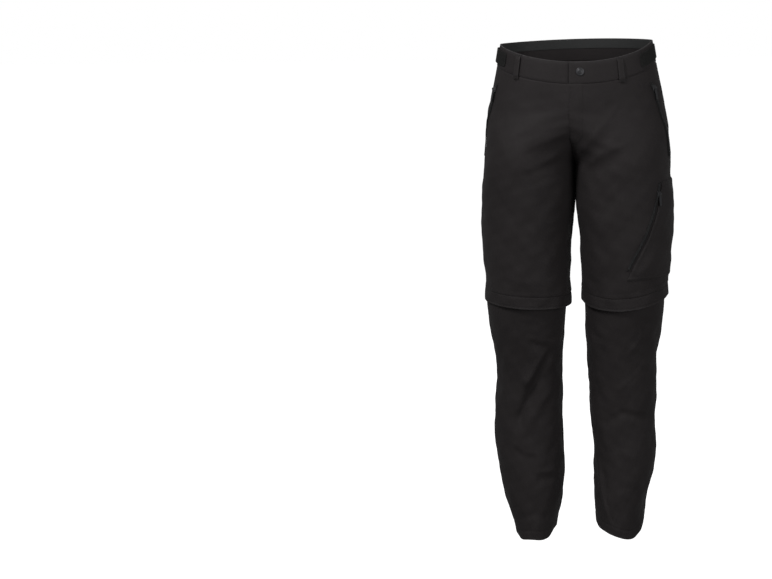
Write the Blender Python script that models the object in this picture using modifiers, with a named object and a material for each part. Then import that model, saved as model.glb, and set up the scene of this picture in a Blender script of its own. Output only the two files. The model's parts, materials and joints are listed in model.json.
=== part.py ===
# Convertible zip-off trousers, filled out as worn, at real size.
# The frame is in metres: +X is the wearer's left, the front faces -Y, +Z is up,
# and the origin is the middle of the waistband, where the wearer holds the trousers up.
# Tables and named sizes are in millimetres, and a mesh's points are turned into metres once.

import math
from collections import namedtuple

import bmesh
import bpy
import numpy as np
from mathutils import Matrix, Vector

MM = 0.001
PRODUCT = "zip_off_trousers"
LEFT, RIGHT = 1, -1
SIDE_NAME = {LEFT: "left", RIGHT: "right"}

# Cloth
CLOTH = 1.6
BAND_CLOTH = 2.6
BAND_PROUD = 0.6
SEAM_GAP = 0.3
REST_GAP = 0.4

# Waist
SIDE_TOP = 16.5
SIDE_TILT = 1.8
FRONT_DIP = 36.5
FRONT_SLANT = 0.05
BACK_RISE = 3.5
BAND_HEIGHT = 45.0
WAIST_HALF = 158.0
WAIST_DEPTH = 110.0
BAND_SHARES = (0, 0.33, 0.67, 1)

# Crotch: above it the two legs' tubes join on x = 0
CROTCH = -235.0
JOIN_HEIGHT = 115.0
JOIN_POWER = 1.5
LEG_APART = 0.2

# Knee, where the lower legs zip off under a flap
FLAP_HEIGHT = 26.0
ZIP_START = 1.0
ZIP_DROP = 13.0
ZIP_IN_LOWER = 0.2

Section = namedtuple("Section", "level outer inner front back middle")
Edge = namedtuple("Edge", "middle outer front back corner twist")
Fold = namedtuple("Fold", "face x1 z1 x2 z2 width depth")
Strip = namedtuple("Strip", "angle_top level_top angle_bottom level_bottom")
Loop = namedtuple("Loop", "name side face x")

# The thigh of each leg, from the waist down to the flap's edge. Outer and inner are
# distances from x = 0; front and back are depths from middle, which is a Y position.
THIGH = {
    LEFT: [
        Section(24, 157.5, 0, 108, 112, 0),
        Section(-30, 167, 0, 112, 118, 0),
        Section(-80, 177.5, 0, 116, 127, 0),
        Section(-130, 187.5, 0, 119, 135, 0),
        Section(-190, 196, 0, 120, 138, 0),
        Section(-235, 197.5, 0, 117, 134, 0),
        Section(-290, 200, 0, 113, 125, 0),
        Section(-330, 202, 1, 110, 118, 0),
        Section(-380, 201.5, 8, 106, 111, 0),
        Section(-430, 198, 10.5, 102, 105, 0),
        Section(-480, 196, 12.5, 97, 98, 0),
        Section(-520, 196, 13, 93, 93, 0),
        Section(-560, 195, 14, 91, 90, 0),
    ],
    RIGHT: [
        Section(24, 158, 0, 108, 112, 0),
        Section(-30, 167, 0, 112, 118, 0),
        Section(-80, 177, 0, 116, 127, 0),
        Section(-130, 187.5, 0, 119, 135, 0),
        Section(-185, 191.5, 0, 120, 138, 0),
        Section(-212, 192, 0, 119, 137, 0),
        Section(-240, 196, 0, 117, 133, 0),
        Section(-290, 201, 0, 113, 125, 0),
        Section(-330, 202.5, 3, 110, 118, 0),
        Section(-380, 203.5, 8.5, 106, 111, 0),
        Section(-430, 201.5, 11.5, 102, 105, 0),
        Section(-480, 195.5, 13.5, 97, 98, 0),
        Section(-520, 197, 10.5, 93, 93, 0),
        Section(-560, 196.5, 11.5, 91, 90, 0),
    ],
}

# The leg below the knee, from inside the flap down to the hem
LOWER = {
    LEFT: [
        Section(-510, 188.5, 18, 87, 85, 0),
        Section(-553, 186.5, 20, 84, 84, 2),
        Section(-600, 181, 20, 80, 84, 5),
        Section(-645, 173, 23, 76, 86, 9),
        Section(-690, 171.5, 25, 73, 88, 12),
        Section(-735, 172, 28, 71, 88, 14),
        Section(-780, 169.5, 29.5, 70, 86, 14),
        Section(-825, 170.5, 35, 70, 84, 13),
        Section(-860, 172, 38, 71, 82, 12),
        Section(-900, 169, 38.5, 72, 80, 11),
        Section(-940, 159.5, 39, 74, 78, 10),
        Section(-984, 150, 41, 75, 76, 8),
        Section(-1020, 148, 44, 75, 75, 6),
        Section(-1060, 146, 46, 75, 75, 5),
    ],
    RIGHT: [
        Section(-510, 195, 20, 87, 85, 0),
        Section(-553, 193, 23, 84, 84, 2),
        Section(-600, 187.5, 27, 80, 84, 5),
        Section(-645, 180.5, 29.5, 76, 86, 9),
        Section(-690, 175, 33, 73, 88, 12),
        Section(-735, 177.5, 31, 71, 88, 14),
        Section(-780, 180.5, 32.5, 70, 86, 14),
        Section(-825, 181.5, 31, 70, 84, 13),
        Section(-850, 180.5, 30.5, 71, 83, 12),
        Section(-885, 175.5, 27, 72, 81, 11),
        Section(-920, 169.5, 27.5, 73, 79, 10),
        Section(-961, 162, 30.5, 75, 77, 9),
        Section(-1000, 149, 35.5, 75, 76, 7),
        Section(-1030, 138, 42, 75, 75, 5),
        Section(-1060, 131.5, 45, 75, 75, 4),
    ],
}

# Edges that run round a leg: a level halfway, how much higher the outer side, front and
# back are, how much lower all the corners are, and the outer front corner against the inner
FLAP_EDGE = {LEFT: Edge(-523, 5, -18, 1, 0, 0), RIGHT: Edge(-538, 5, -3, 1, 0, 0)}
HEM_EDGE = {LEFT: Edge(-1024, 0, -16, -2, 4.5, 8.5), RIGHT: Edge(-1041, 0, -16, 0, 7.5, 0)}

# The largest folds, as soft ridges (+) and troughs (-) along a line on the front or back
THIGH_FOLDS = {
    LEFT: [
        Fold("front", 20, -232, 92, -158, 13, -2.6),
        Fold("front", 34, -252, 112, -206, 14, -2.2),
        Fold("front", 100, -262, 52, -340, 22, -3.0),
        Fold("back", 30, -262, 110, -232, 18, -3.4),
        Fold("back", 60, -430, 150, -470, 20, -2.6),
    ],
    RIGHT: [
        Fold("front", -90, -212, -6, -182, 13, -2.4),
        Fold("front", -88, -260, -40, -238, 13, -2.2),
        Fold("front", -68, -385, -24, -462, 15, -2.4),
        Fold("back", -30, -262, -105, -236, 18, -3.2),
        Fold("back", -55, -440, -140, -462, 20, -2.6),
    ],
}
LOWER_FOLDS = {
    LEFT: [
        Fold("front", 134, -620, 160, -565, 12, -3.0),
        Fold("front", 112, -702, 146, -668, 12, -2.4),
        Fold("front", 68, -796, 104, -764, 11, -2.8),
        Fold("front", 104, -764, 166, -784, 11, -2.8),
        Fold("back", 50, -628, 160, -652, 20, -4.2),
        Fold("back", 60, -690, 150, -672, 16, -3.0),
        Fold("back", 60, -960, 130, -978, 16, -2.8),
    ],
    RIGHT: [
        Fold("front", -48, -658, -100, -712, 13, 4.4),
        Fold("front", -50, -646, -126, -800, 17, -4.6),
        Fold("front", -90, -616, -42, -640, 12, -2.8),
        Fold("front", -126, -856, -86, -876, 12, -2.4),
        Fold("front", -76, -924, -34, -922, 11, -2.2),
        Fold("back", -50, -640, -160, -622, 20, -4.2),
        Fold("back", -60, -700, -150, -684, 16, -3.0),
        Fold("back", -60, -966, -125, -950, 16, -2.8),
    ],
}

# Belt loops: the side of the leg tube that carries each, and its X distance there
LOOPS = [
    Loop("belt_loop_front_left", LEFT, "front", 100),
    Loop("belt_loop_front_right", RIGHT, "front", 109),
    Loop("belt_loop_back_left", LEFT, "back", 98),
    Loop("belt_loop_back_right", RIGHT, "back", 98),
]
LOOP_LEVEL = -20.0
LOOP_WIDTH = 12.0
LOOP_LENGTH = 51.0
LOOP_DROP = 1.5
LOOP_CLOTH = 1.5
LOOP_RISE = 2.4
LOOP_TAPER = 0.2
LOOP_SHARES = (0, 0.05, 0.12, 0.22, 0.4, 0.6, 0.78, 0.88, 0.95, 1)

# Hook-and-loop tabs that take in the waist, over each side seam
TAB_FRONT = math.radians(33)
TAB_BACK = math.radians(-30)
TAB_HEIGHT = 28.0
TAB_CLOTH = 1.8
TAB_CORNER = 5.0
TAB_CORNER_SHARES = (0, 0.12, 0.4, 1)
TAB_SHARES = (1, 0.33, -0.33, -1)
TAB_TAPER = 0.3
TAB_RISE = {LEFT: 0.4, RIGHT: 2.2}

# Fly
FLY_LEVEL = -40.0
FLY_X = 1.0
SHIELD_LEVEL = -60.0
SHIELD_RIGHT = 20.0
SHIELD_MIDDLE = 1.5
SHIELD_LEFT = 30.0
SHIELD_BOTTOM = -165.0
SHIELD_CLOTH = 1.2
SHIELD_BEHIND = 2.2
UNDERLAP = 38.0
UNDERLAP_STEP = 5.5
UNDERLAP_RUN = 8.0
SNAP_X = 22.0
SNAP_DROP = 21.0

# The press stud's cap from its middle to its rim and under it, as radius and height
SNAP_PROFILE = [
    (0, 2.2),
    (3.4, 2.1),
    (5.4, 1.8),
    (6.0, 1.9),
    (7.6, 1.7),
    (8.4, 1.2),
    (8.5, 0.6),
    (8.1, 0),
    (0, 0),
]
SNAP_STEPS = 24

# Zips: the angle round the leg tube from the side seam and the level of each end
ZIP_CLOTH = 1.2
HAND_ZIP = Strip(math.radians(23), -70, math.radians(7.5), -222)
HAND_ZIP_WIDTH = 9.0
HAND_SLIDER_LEVEL = -79.0
CARGO_ZIP_WIDTH = 7.0
CARGO_ZIP_FROM_EDGE = 8.0
CARGO_ZIP_TOP = -274.0
CARGO_ZIP_BOTTOM = -450.0
CARGO_SLIDER_LEVEL = -296.0
CARGO_TOP = -270.0
CARGO_BOTTOM = -474.0
CARGO_BACK = math.radians(-50)
CARGO_FRONT_TOP = math.radians(31)
CARGO_FRONT_BOTTOM = math.radians(82)
CARGO_FRONT_POWER = 1.3
CARGO_CLOTH = 2.3
CARGO_GAP = 0.7

# Zip sliders and pull tabs
SLIDER_WIDTH = 8.8
SLIDER_LENGTH = 11.0
SLIDER_HEIGHT = 2.0
LUG_WIDTH = 1.3
LUG_LENGTH = 4.4
LUG_SINK = 0.5
LUG_OVER_PIN = 0.5
PULL_WIDTH = 5.0
PULL_LENGTH = 24.0
PULL_THICK = 1.4
PULL_TIP = 0.5
PIN_RADIUS = 0.8
PIN_STEPS = 12
HOLE_STEPS = 12
KNUCKLE_STEPS = 14
PULL_HOLE = 1.1
PULL_KNUCKLE = 1.75
RUN_GAP = 0.3

# Mesh, and the levels between which a panel's rows stay level while its ends follow edges
STEADY_ABOVE_CROTCH = 30.0
STEADY_LOW = -380.0
CALF_LEVEL = -700.0
PANEL_CELL = 24.0
LOWER_CELL = 18.6
PATCH_CELL = 10.0
CARGO_CELL = 19.0
CARGO_COLUMNS = 19
PANEL_COLUMNS = 12
LOWER_COLUMNS = 11
CROTCH_ROWS = 11
RING_COLUMNS = 2 * LOWER_COLUMNS


def smooth_step(t):
    t = np.clip(t, 0.0, 1.0)
    return t * t * (3 - 2 * t)


def spaced(start, end, cell):
    """Levels or distances from start to end, about one cell apart."""
    return np.linspace(start, end, max(2, round(abs(end - start) / cell) + 1))


class Tube:
    """The cloth surface of one leg. An angle of 0 is the side seam, 90 degrees the front,
    180 degrees the inseam and -90 degrees the back."""

    def __init__(self, side, sections, folds):
        rows = np.array(sorted(sections))
        self.side = side
        self.folds = folds
        self.levels = rows[:, 0]
        self.values = rows[:, 1:]
        self.slopes = np.gradient(self.values, self.levels, axis=0)

    def section(self, z):
        """The table's columns at a level, on a smooth curve through its rows."""
        z = np.clip(z, self.levels[0], self.levels[-1])
        row = np.clip(np.searchsorted(self.levels, z) - 1, 0, len(self.levels) - 2)
        height = (self.levels[row + 1] - self.levels[row])[..., None]
        t = (z - self.levels[row])[..., None] / height
        low, high = self.values[row], self.values[row + 1]
        slope_low, slope_high = self.slopes[row] * height, self.slopes[row + 1] * height
        mixed = (
            low * (1 + 2 * t) * (1 - t) ** 2
            + slope_low * t * (1 - t) ** 2
            + high * t * t * (3 - 2 * t)
            + slope_high * t * t * (t - 1)
        )
        outer, inner, front, back, middle = np.moveaxis(mixed, -1, 0)
        join = joined(z)
        inner = np.where(z > CROTCH, outer * (join - 1) / (join + 1), np.maximum(inner, 0))
        return outer, inner, front, back, middle

    def bare(self, angle, z):
        outer, inner, front, back, middle = self.section(z)
        depth = np.where(np.sin(angle) > 0, front, back)
        x = (outer + inner) / 2 + (outer - inner) / 2 * np.cos(angle) + LEG_APART
        return np.stack([self.side * x, middle - depth * np.sin(angle), z + 0 * x], -1)

    def normal(self, angle, z):
        turn, drop = 0.01, 1.0
        across = self.bare(angle + turn, z) - self.bare(angle - turn, z)
        down = self.bare(angle, z - drop) - self.bare(angle, z + drop)
        normal = self.side * np.cross(across, down)
        return normal / np.linalg.norm(normal, axis=-1, keepdims=True)

    def point(self, angle, z, out=0.0):
        """A point on the cloth's outer face, moved out along the normal."""
        angle, z, out = np.broadcast_arrays(np.asarray(angle, float), np.asarray(z, float), out)
        place = self.bare(angle, z)
        lift = out + self.fold_lift(place, angle)
        return place + self.normal(angle, z) * lift[..., None]

    def fold_lift(self, place, angle):
        lift = np.zeros(place.shape[:-1])
        for fold in self.folds:
            start, end = np.array([fold.x1, fold.z1]), np.array([fold.x2, fold.z2])
            along = end - start
            length = np.linalg.norm(along)
            away = place[..., [0, 2]] - start
            run = (away @ along) / length**2
            aside = (away[..., 0] * along[1] - away[..., 1] * along[0]) / length
            taper = smooth_step(run / 0.3 + 0.5) * smooth_step((1 - run) / 0.3 + 0.5)
            facing = np.sin(angle) if fold.face == "front" else -np.sin(angle)
            shown = smooth_step((facing - 0.1) / 0.4)
            lift += fold.depth * np.exp(-((aside / fold.width) ** 2)) * taper * shown
        return lift

    def cut_angle(self, z):
        """Where the front or back ends: at x = 0 above the crotch, at the inseam below it."""
        return np.where(z > CROTCH, np.arccos(-joined(z)), math.pi)

    def angle_at(self, x, z, face):
        outer, inner = self.section(np.asarray(z, float))[:2]
        across = (x - LEG_APART - (outer + inner) / 2) / ((outer - inner) / 2)
        angle = np.arccos(np.clip(across, -1, 1))
        return angle if face == "front" else -angle

    def arc(self, angle, z):
        """Millimetres round the tube for each radian of the angle."""
        turn = 0.01
        step = self.bare(angle + turn, z) - self.bare(angle - turn, z)
        return np.linalg.norm(step, axis=-1) / (2 * turn)


def joined(z):
    """1 at the crotch, where each leg's tube is whole, and 0 where they are one tube."""
    rise = np.clip((z - CROTCH) / JOIN_HEIGHT, 0, 1)
    return (1 - rise**JOIN_POWER) ** JOIN_POWER


def waist_top(side, angle):
    """The level of the waistband's top edge."""
    facing = np.sin(angle)
    front = np.maximum(facing, 0)
    toward_left = side * np.cos(angle)
    dip = FRONT_DIP * front**1.5 + FRONT_SLANT * WAIST_HALF * toward_left * front
    return SIDE_TOP + SIDE_TILT * toward_left - dip + BACK_RISE * np.minimum(facing, 0) ** 2


def edge_level(edge, angle):
    facing = np.sin(angle)
    tilt = (edge.front - edge.back) / 2 * facing + (edge.front + edge.back) / 2 * facing**2
    corner = np.sin(2 * angle)
    drop = edge.corner * corner**2 + edge.twist * corner
    return edge.middle + edge.outer * np.cos(angle) + tilt - drop


def stitch_level(side, angle):
    """The seam that joins the flap to the thigh."""
    return edge_level(FLAP_EDGE[side], angle) + FLAP_HEIGHT


THIGH_TUBE = {side: Tube(side, THIGH[side], THIGH_FOLDS[side]) for side in (LEFT, RIGHT)}
LOWER_TUBE = {side: Tube(side, LOWER[side], LOWER_FOLDS[side]) for side in (LEFT, RIGHT)}


# Objects and materials


def clear_scene():
    for item in list(bpy.data.objects):
        bpy.data.objects.remove(item, do_unlink=True)


def new_collection(name):
    collection = bpy.data.collections.new(name)
    bpy.context.scene.collection.children.link(collection)
    return collection


def new_material(name, colour, roughness, metallic=0.0):
    material = bpy.data.materials.new(name)
    material.use_nodes = True
    shader = material.node_tree.nodes["Principled BSDF"]
    shader.inputs["Base Color"].default_value = (*colour, 1)
    shader.inputs["Roughness"].default_value = roughness
    shader.inputs["Metallic"].default_value = metallic
    material.diffuse_color = (*colour, 1)
    return material


def add_object(name, data, finish, where=None):
    item = bpy.data.objects.new(name, data)
    (where or PARTS).objects.link(item)
    data.materials.append(finish)
    return item


def add_wall(name, outer, inner, finish, ring=False):
    """A closed wall between two grids of points, given as rows by columns, in millimetres."""
    rows, columns = outer.shape[:2]
    count = rows * columns
    points = np.concatenate([outer.reshape(-1, 3), inner.reshape(-1, 3)]) * MM
    faces = []
    last = columns if ring else columns - 1
    for i in range(rows - 1):
        for j in range(last):
            a, b = i * columns + j, i * columns + (j + 1) % columns
            faces.append((a, a + columns, b + columns, b))
            faces.append((count + a, count + b, count + b + columns, count + a + columns))
    for j in range(last):
        for i in (0, rows - 1):
            a, b = i * columns + j, i * columns + (j + 1) % columns
            faces.append((a, b, count + b, count + a) if i == 0 else (b, a, count + a, count + b))
    if not ring:
        for i in range(rows - 1):
            for j in (0, columns - 1):
                a, b = i * columns + j, (i + 1) * columns + j
                faces.append((b, a, count + a, count + b) if j == 0 else (a, b, count + b, count + a))
    mesh = bpy.data.meshes.new(name)
    mesh.from_pydata([tuple(point) for point in points], [], faces)
    tidy = bmesh.new()
    tidy.from_mesh(mesh)
    bmesh.ops.recalc_face_normals(tidy, faces=tidy.faces)
    tidy.to_mesh(mesh)
    tidy.free()
    mesh.shade_smooth()
    mesh.set_sharp_from_angle(angle=math.radians(50))
    return add_object(name, mesh, finish)


def add_cloth(name, tube, angle, z, finish, out=0.0, thick=CLOTH, ring=False):
    """A wall on a tube, from grids of angles and levels."""
    outer = tube.point(angle, z, out)
    inner = tube.point(angle, z, out - thick)
    return add_wall(name, outer, inner, finish, ring)


# Panels


def panel_rows():
    """Levels down a front or back, closer near the crotch, where the seam turns under."""
    top = SIDE_TOP - BAND_HEIGHT
    above = CROTCH + (top - CROTCH) * np.linspace(1, 0, CROTCH_ROWS) ** 2
    below = spaced(CROTCH, FLAP_EDGE[LEFT].middle + FLAP_HEIGHT, PANEL_CELL)
    return np.concatenate([above, below[1:]])


def add_panel(name, side, face, finish):
    tube = THIGH_TUBE[side]
    turn = 1 if face == "front" else -1
    rows = panel_rows()
    share = np.linspace(0, 1, PANEL_COLUMNS)
    level = rows[:, None] + 0 * share
    steady = CROTCH + STEADY_ABOVE_CROTCH
    top_share = smooth_step((level - steady) / (rows[0] - steady))
    low_share = smooth_step((STEADY_LOW - level) / (STEADY_LOW - rows[-1]))
    z = level
    for _ in range(3):
        angle = share * tube.cut_angle(z) * turn
        top = waist_top(side, angle) - BAND_HEIGHT - SEAM_GAP / 2 - rows[0]
        low = stitch_level(side, angle) + SEAM_GAP / 2 - rows[-1]
        z = level + top * top_share + low * low_share
    depth = tube.section(z)[2]
    inset = SEAM_GAP / 2 / depth
    angle = turn * (inset + share * (tube.cut_angle(z) - 2 * inset))
    add_cloth(name, tube, angle, z, finish)


def add_lower_panel(name, side, face, finish):
    tube = LOWER_TUBE[side]
    turn = 1 if face == "front" else -1
    share = np.linspace(0, 1, LOWER_COLUMNS + 1)
    seam = SEAM_GAP / 2 / tube.section(np.array(CALF_LEVEL))[2]
    angle = turn * (seam + share * (math.pi - 2 * seam))
    top = stitch_level(side, angle) - ZIP_DROP
    bottom = edge_level(HEM_EDGE[side], angle)
    rows = len(spaced(FLAP_EDGE[side].middle, HEM_EDGE[side].middle, LOWER_CELL))
    down = np.linspace(0, 1, rows)[:, None]
    z = top + (bottom - top) * down
    add_cloth(name, tube, angle + 0 * z, z, finish)


def add_knee(side, cloth, tape):
    """The flap that hides the zip, and the zip from inside it to the lower leg's top."""
    tube, lower = THIGH_TUBE[side], LOWER_TUBE[side]
    angle = np.linspace(0, 2 * math.pi, RING_COLUMNS, endpoint=False)
    stitch = stitch_level(side, angle)
    down = np.array([0, 0.5, 1])[:, None]
    top = stitch - SEAM_GAP / 2
    bottom = edge_level(FLAP_EDGE[side], angle)
    z = top + (bottom - top) * down
    add_cloth(f"knee_flap_{SIDE_NAME[side]}", tube, angle + 0 * z, z, cloth, ring=True)
    z = stitch - ZIP_START - (ZIP_DROP - ZIP_START - SEAM_GAP) * down
    grids = []
    for depth in (0, ZIP_CLOTH):
        above = tube.point(angle + 0 * z, z, -CLOTH - REST_GAP - depth)
        below = lower.point(angle + 0 * z, z, -ZIP_IN_LOWER - depth)
        grids.append(above + (below - above) * down[..., None])
    add_wall(f"knee_zip_{SIDE_NAME[side]}", *grids, tape, ring=True)


# Waistband and fly


def band_grid(side, angle):
    """Angles and levels of a stretch of the waistband, from its top edge to its seam."""
    top = waist_top(side, angle)
    down = np.array(BAND_SHARES)[:, None]
    z = top + (-BAND_HEIGHT + SEAM_GAP / 2) * down
    return angle + 0 * z, z


def band_points(side, angle, out=0.0):
    tube = THIGH_TUBE[side]
    angles, z = band_grid(side, angle)
    outer = tube.point(angles, z, BAND_PROUD + out)
    inner = tube.point(angles, z, BAND_PROUD - BAND_CLOTH + out)
    return outer, inner


def add_waistband(finish):
    seam = SEAM_GAP / 2 / WAIST_DEPTH
    quarter = math.pi / 2
    front = np.linspace(seam, quarter, PANEL_COLUMNS)
    add_wall("waistband_front_left", *band_points(LEFT, front), finish)

    # The right front steps in at the middle and goes on under the left front
    right = THIGH_TUBE[RIGHT]
    left = THIGH_TUBE[LEFT]
    places = (UNDERLAP_STEP + UNDERLAP_RUN, UNDERLAP_STEP, FLY_X)
    step = [right.angle_at(x, FLY_LEVEL, "front") for x in places]
    before = np.concatenate([np.linspace(seam, step[0], PANEL_COLUMNS - 2)[:-1], step])
    sink = -(BAND_CLOTH + REST_GAP)
    out = np.zeros(len(before))
    out[-1] = sink
    under = [left.angle_at(x, FLY_LEVEL, "front") for x in np.linspace(FLY_X, UNDERLAP, 5)]
    first = band_points(RIGHT, before, out)
    second = band_points(LEFT, np.array(under), sink)
    grids = [np.concatenate([a, b], axis=1) for a, b in zip(first, second)]
    add_wall("waistband_front_right", *grids, finish)

    # The back goes from one side seam round to the other
    half = -np.linspace(seam, quarter, PANEL_COLUMNS + 1)
    first = band_points(LEFT, half)
    second = band_points(RIGHT, half[::-1])
    grids = [np.concatenate([a, b[:, 1:]], axis=1) for a, b in zip(first, second)]
    add_wall("waistband_back", *grids, finish)


def add_fly_shield(finish):
    """The layer behind the fly, which shows inside the waist."""
    down = np.linspace(0, 1, 7)[:, None]
    halves_of_shield = (
        (RIGHT, np.linspace(SHIELD_RIGHT, SHIELD_MIDDLE, 3)),
        (LEFT, np.linspace(SHIELD_MIDDLE, SHIELD_LEFT, 4)),
    )
    grids = []
    for depth in (0, SHIELD_CLOTH):
        out = -CLOTH - SHIELD_BEHIND - depth
        halves = []
        for side, places in halves_of_shield:
            tube = THIGH_TUBE[side]
            at_top = tube.angle_at(places, SHIELD_LEVEL, "front")
            top = waist_top(side, at_top) - BAND_HEIGHT - SEAM_GAP
            z = top + (SHIELD_BOTTOM - top) * down
            halves.append(tube.point(tube.angle_at(places + 0 * z, z, "front"), z, out))
        grids.append(np.concatenate(halves, axis=1))
    add_wall("fly_shield", *grids, finish)


def frame_at(tube, angle, z, out):
    """A frame on the cloth: X down the leg, Y out of the cloth, Z across."""
    angle, z = np.array(angle), np.array(z)
    origin = Vector(tube.point(angle, z, out)) * MM
    outward = Vector(tube.normal(angle, z)).normalized()
    down = Vector(tube.bare(angle, z - 1) - tube.bare(angle, z + 1))
    down = (down - outward * down.dot(outward)).normalized()
    return frame_from(origin, down, outward)


def frame_from(origin, down, outward):
    across = down.cross(outward)
    turned = Matrix((down, outward, across)).transposed().to_4x4()
    return Matrix.Translation(origin) @ turned


def add_snap(finish):
    """The press stud's cap, turned from its profile."""
    mesh = bpy.data.meshes.new("waist_snap")
    points = [(radius * MM, 0, height * MM) for radius, height in SNAP_PROFILE]
    mesh.from_pydata(points, [(i, i + 1) for i in range(len(points) - 1)], [])
    item = add_object("waist_snap", mesh, finish)
    turned = item.modifiers.new("turned", "SCREW")
    turned.steps = turned.render_steps = SNAP_STEPS
    turned.use_merge_vertices = True
    turned.merge_threshold = 0.00001
    tube = THIGH_TUBE[LEFT]
    z = float(waist_top(LEFT, math.pi / 2)) - SNAP_DROP
    angle = float(tube.angle_at(SNAP_X, z, "front"))
    place = frame_at(tube, angle, z, BAND_PROUD + REST_GAP)
    # The profile's Z is the frame's Y, out of the cloth
    item.matrix_world = place @ Matrix.Rotation(math.radians(-90), 4, "X")


def loop_lift(down):
    """How far out a belt loop's outer face stands at each share of its length."""
    rise = LOOP_RISE * smooth_step(down / LOOP_TAPER) * smooth_step((1 - down) / LOOP_TAPER)
    return BAND_PROUD + REST_GAP + LOOP_CLOTH + rise


def add_belt_loop(name, tube, angle, finish):
    across = LOOP_WIDTH * np.array([-0.5, 0, 0.5]) / tube.arc(angle, np.array(LOOP_LEVEL))
    angles = angle + across
    top = waist_top(tube.side, angle) - LOOP_DROP
    down = np.array(LOOP_SHARES)[:, None]
    z = top - LOOP_LENGTH * down + 0 * angles
    out = loop_lift(down) + 0 * angles
    add_cloth(name, tube, angles + 0 * z, z, finish, out=out, thick=LOOP_CLOTH)


def add_centre_loop(finish):
    """The loop over the middle of the back, half on each leg's tube."""
    down = np.array(LOOP_SHARES)[:, None]
    half = LOOP_WIDTH / 2
    grids = []
    for depth in (0, LOOP_CLOTH):
        halves = []
        for side, places in ((LEFT, (half, FLY_X)), (RIGHT, (FLY_X, half))):
            tube = THIGH_TUBE[side]
            angles = tube.angle_at(np.array(places), LOOP_LEVEL, "back")
            z = waist_top(side, -math.pi / 2) - LOOP_DROP - LOOP_LENGTH * down + 0 * angles
            out = loop_lift(down) - depth + 0 * angles
            halves.append(tube.point(angles + 0 * z, z, out))
        grids.append(np.concatenate(halves, axis=1))
    add_wall("belt_loop_back_centre", *grids, finish)


def add_waist_tab(side, finish):
    tube = THIGH_TUBE[side]
    arc = float(tube.arc(np.array(0.0), np.array(0.0)))
    length = (TAB_FRONT - TAB_BACK) * arc
    # Columns close together at the front end, whose corners are round
    corner = np.array(TAB_CORNER_SHARES) * TAB_CORNER
    along = np.concatenate([corner, spaced(TAB_CORNER, length, PATCH_CELL)[1:]])
    angles = TAB_FRONT - along / arc
    short = np.clip(TAB_CORNER - along, 0, TAB_CORNER)
    half = TAB_HEIGHT / 2 - (TAB_CORNER - np.sqrt(TAB_CORNER**2 - short**2))
    middle = waist_top(side, angles) - BAND_HEIGHT / 2
    z = middle + half * np.array(TAB_SHARES)[:, None]
    share = along / length
    rise = TAB_RISE[side] * smooth_step(share / TAB_TAPER) * smooth_step((1 - share) / TAB_TAPER)
    out = BAND_PROUD + REST_GAP + TAB_CLOTH + rise + 0 * z
    add_cloth(f"waist_tab_{SIDE_NAME[side]}", tube, angles + 0 * z, z, finish, out=out, thick=TAB_CLOTH)


# Pockets and zips


def hand_zip_angle(z):
    t = (z - HAND_ZIP.level_top) / (HAND_ZIP.level_bottom - HAND_ZIP.level_top)
    return HAND_ZIP.angle_top + (HAND_ZIP.angle_bottom - HAND_ZIP.angle_top) * t


def cargo_edge_angle(z):
    """The cargo pocket's slanted front edge."""
    t = np.clip((CARGO_TOP - z) / (CARGO_TOP - CARGO_BOTTOM), 0, 1)
    return CARGO_FRONT_TOP + (CARGO_FRONT_BOTTOM - CARGO_FRONT_TOP) * t**CARGO_FRONT_POWER


def add_strip(name, tube, middle, levels, width, finish):
    """A straight tape down the leg; middle gives the angle of its middle line at a level."""
    angle = middle(levels)
    across = np.array([-0.5, 0, 0.5]) * width
    angles = angle[:, None] + across / tube.arc(angle, levels)[:, None]
    z = levels[:, None] + 0 * across
    add_cloth(name, tube, angles, z, finish, out=REST_GAP + ZIP_CLOTH, thick=ZIP_CLOTH)


def cargo_zip_middle(z):
    tube = THIGH_TUBE[LEFT]
    edge = cargo_edge_angle(z)
    return edge + CARGO_ZIP_FROM_EDGE / tube.arc(edge, z)


def add_cargo_pocket(finish):
    tube = THIGH_TUBE[LEFT]
    levels = spaced(CARGO_TOP, CARGO_BOTTOM, CARGO_CELL)
    share = np.linspace(0, 1, CARGO_COLUMNS)
    z = levels[:, None] + 0 * share
    front = cargo_edge_angle(z)
    angles = CARGO_BACK + (front - CARGO_BACK) * share
    out = CARGO_GAP + CARGO_CLOTH
    add_cloth("cargo_pocket", tube, angles, z, finish, out=out, thick=CARGO_CLOTH)


def add_cube(name, size, centre, finish, where):
    bpy.ops.mesh.primitive_cube_add(size=1)
    cube = bpy.context.active_object
    cube.name = name
    for owner in list(cube.users_collection):
        owner.objects.unlink(cube)
    where.objects.link(cube)
    shape = Matrix.Translation(Vector(centre) * MM) @ Matrix.Diagonal((*[s * MM for s in size], 1))
    cube.data.transform(shape)
    cube.data.materials.append(finish)
    return cube


def hide_helper(item, place):
    item.hide_render = True
    item.display_type = "WIRE"
    item.matrix_world = place


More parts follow.
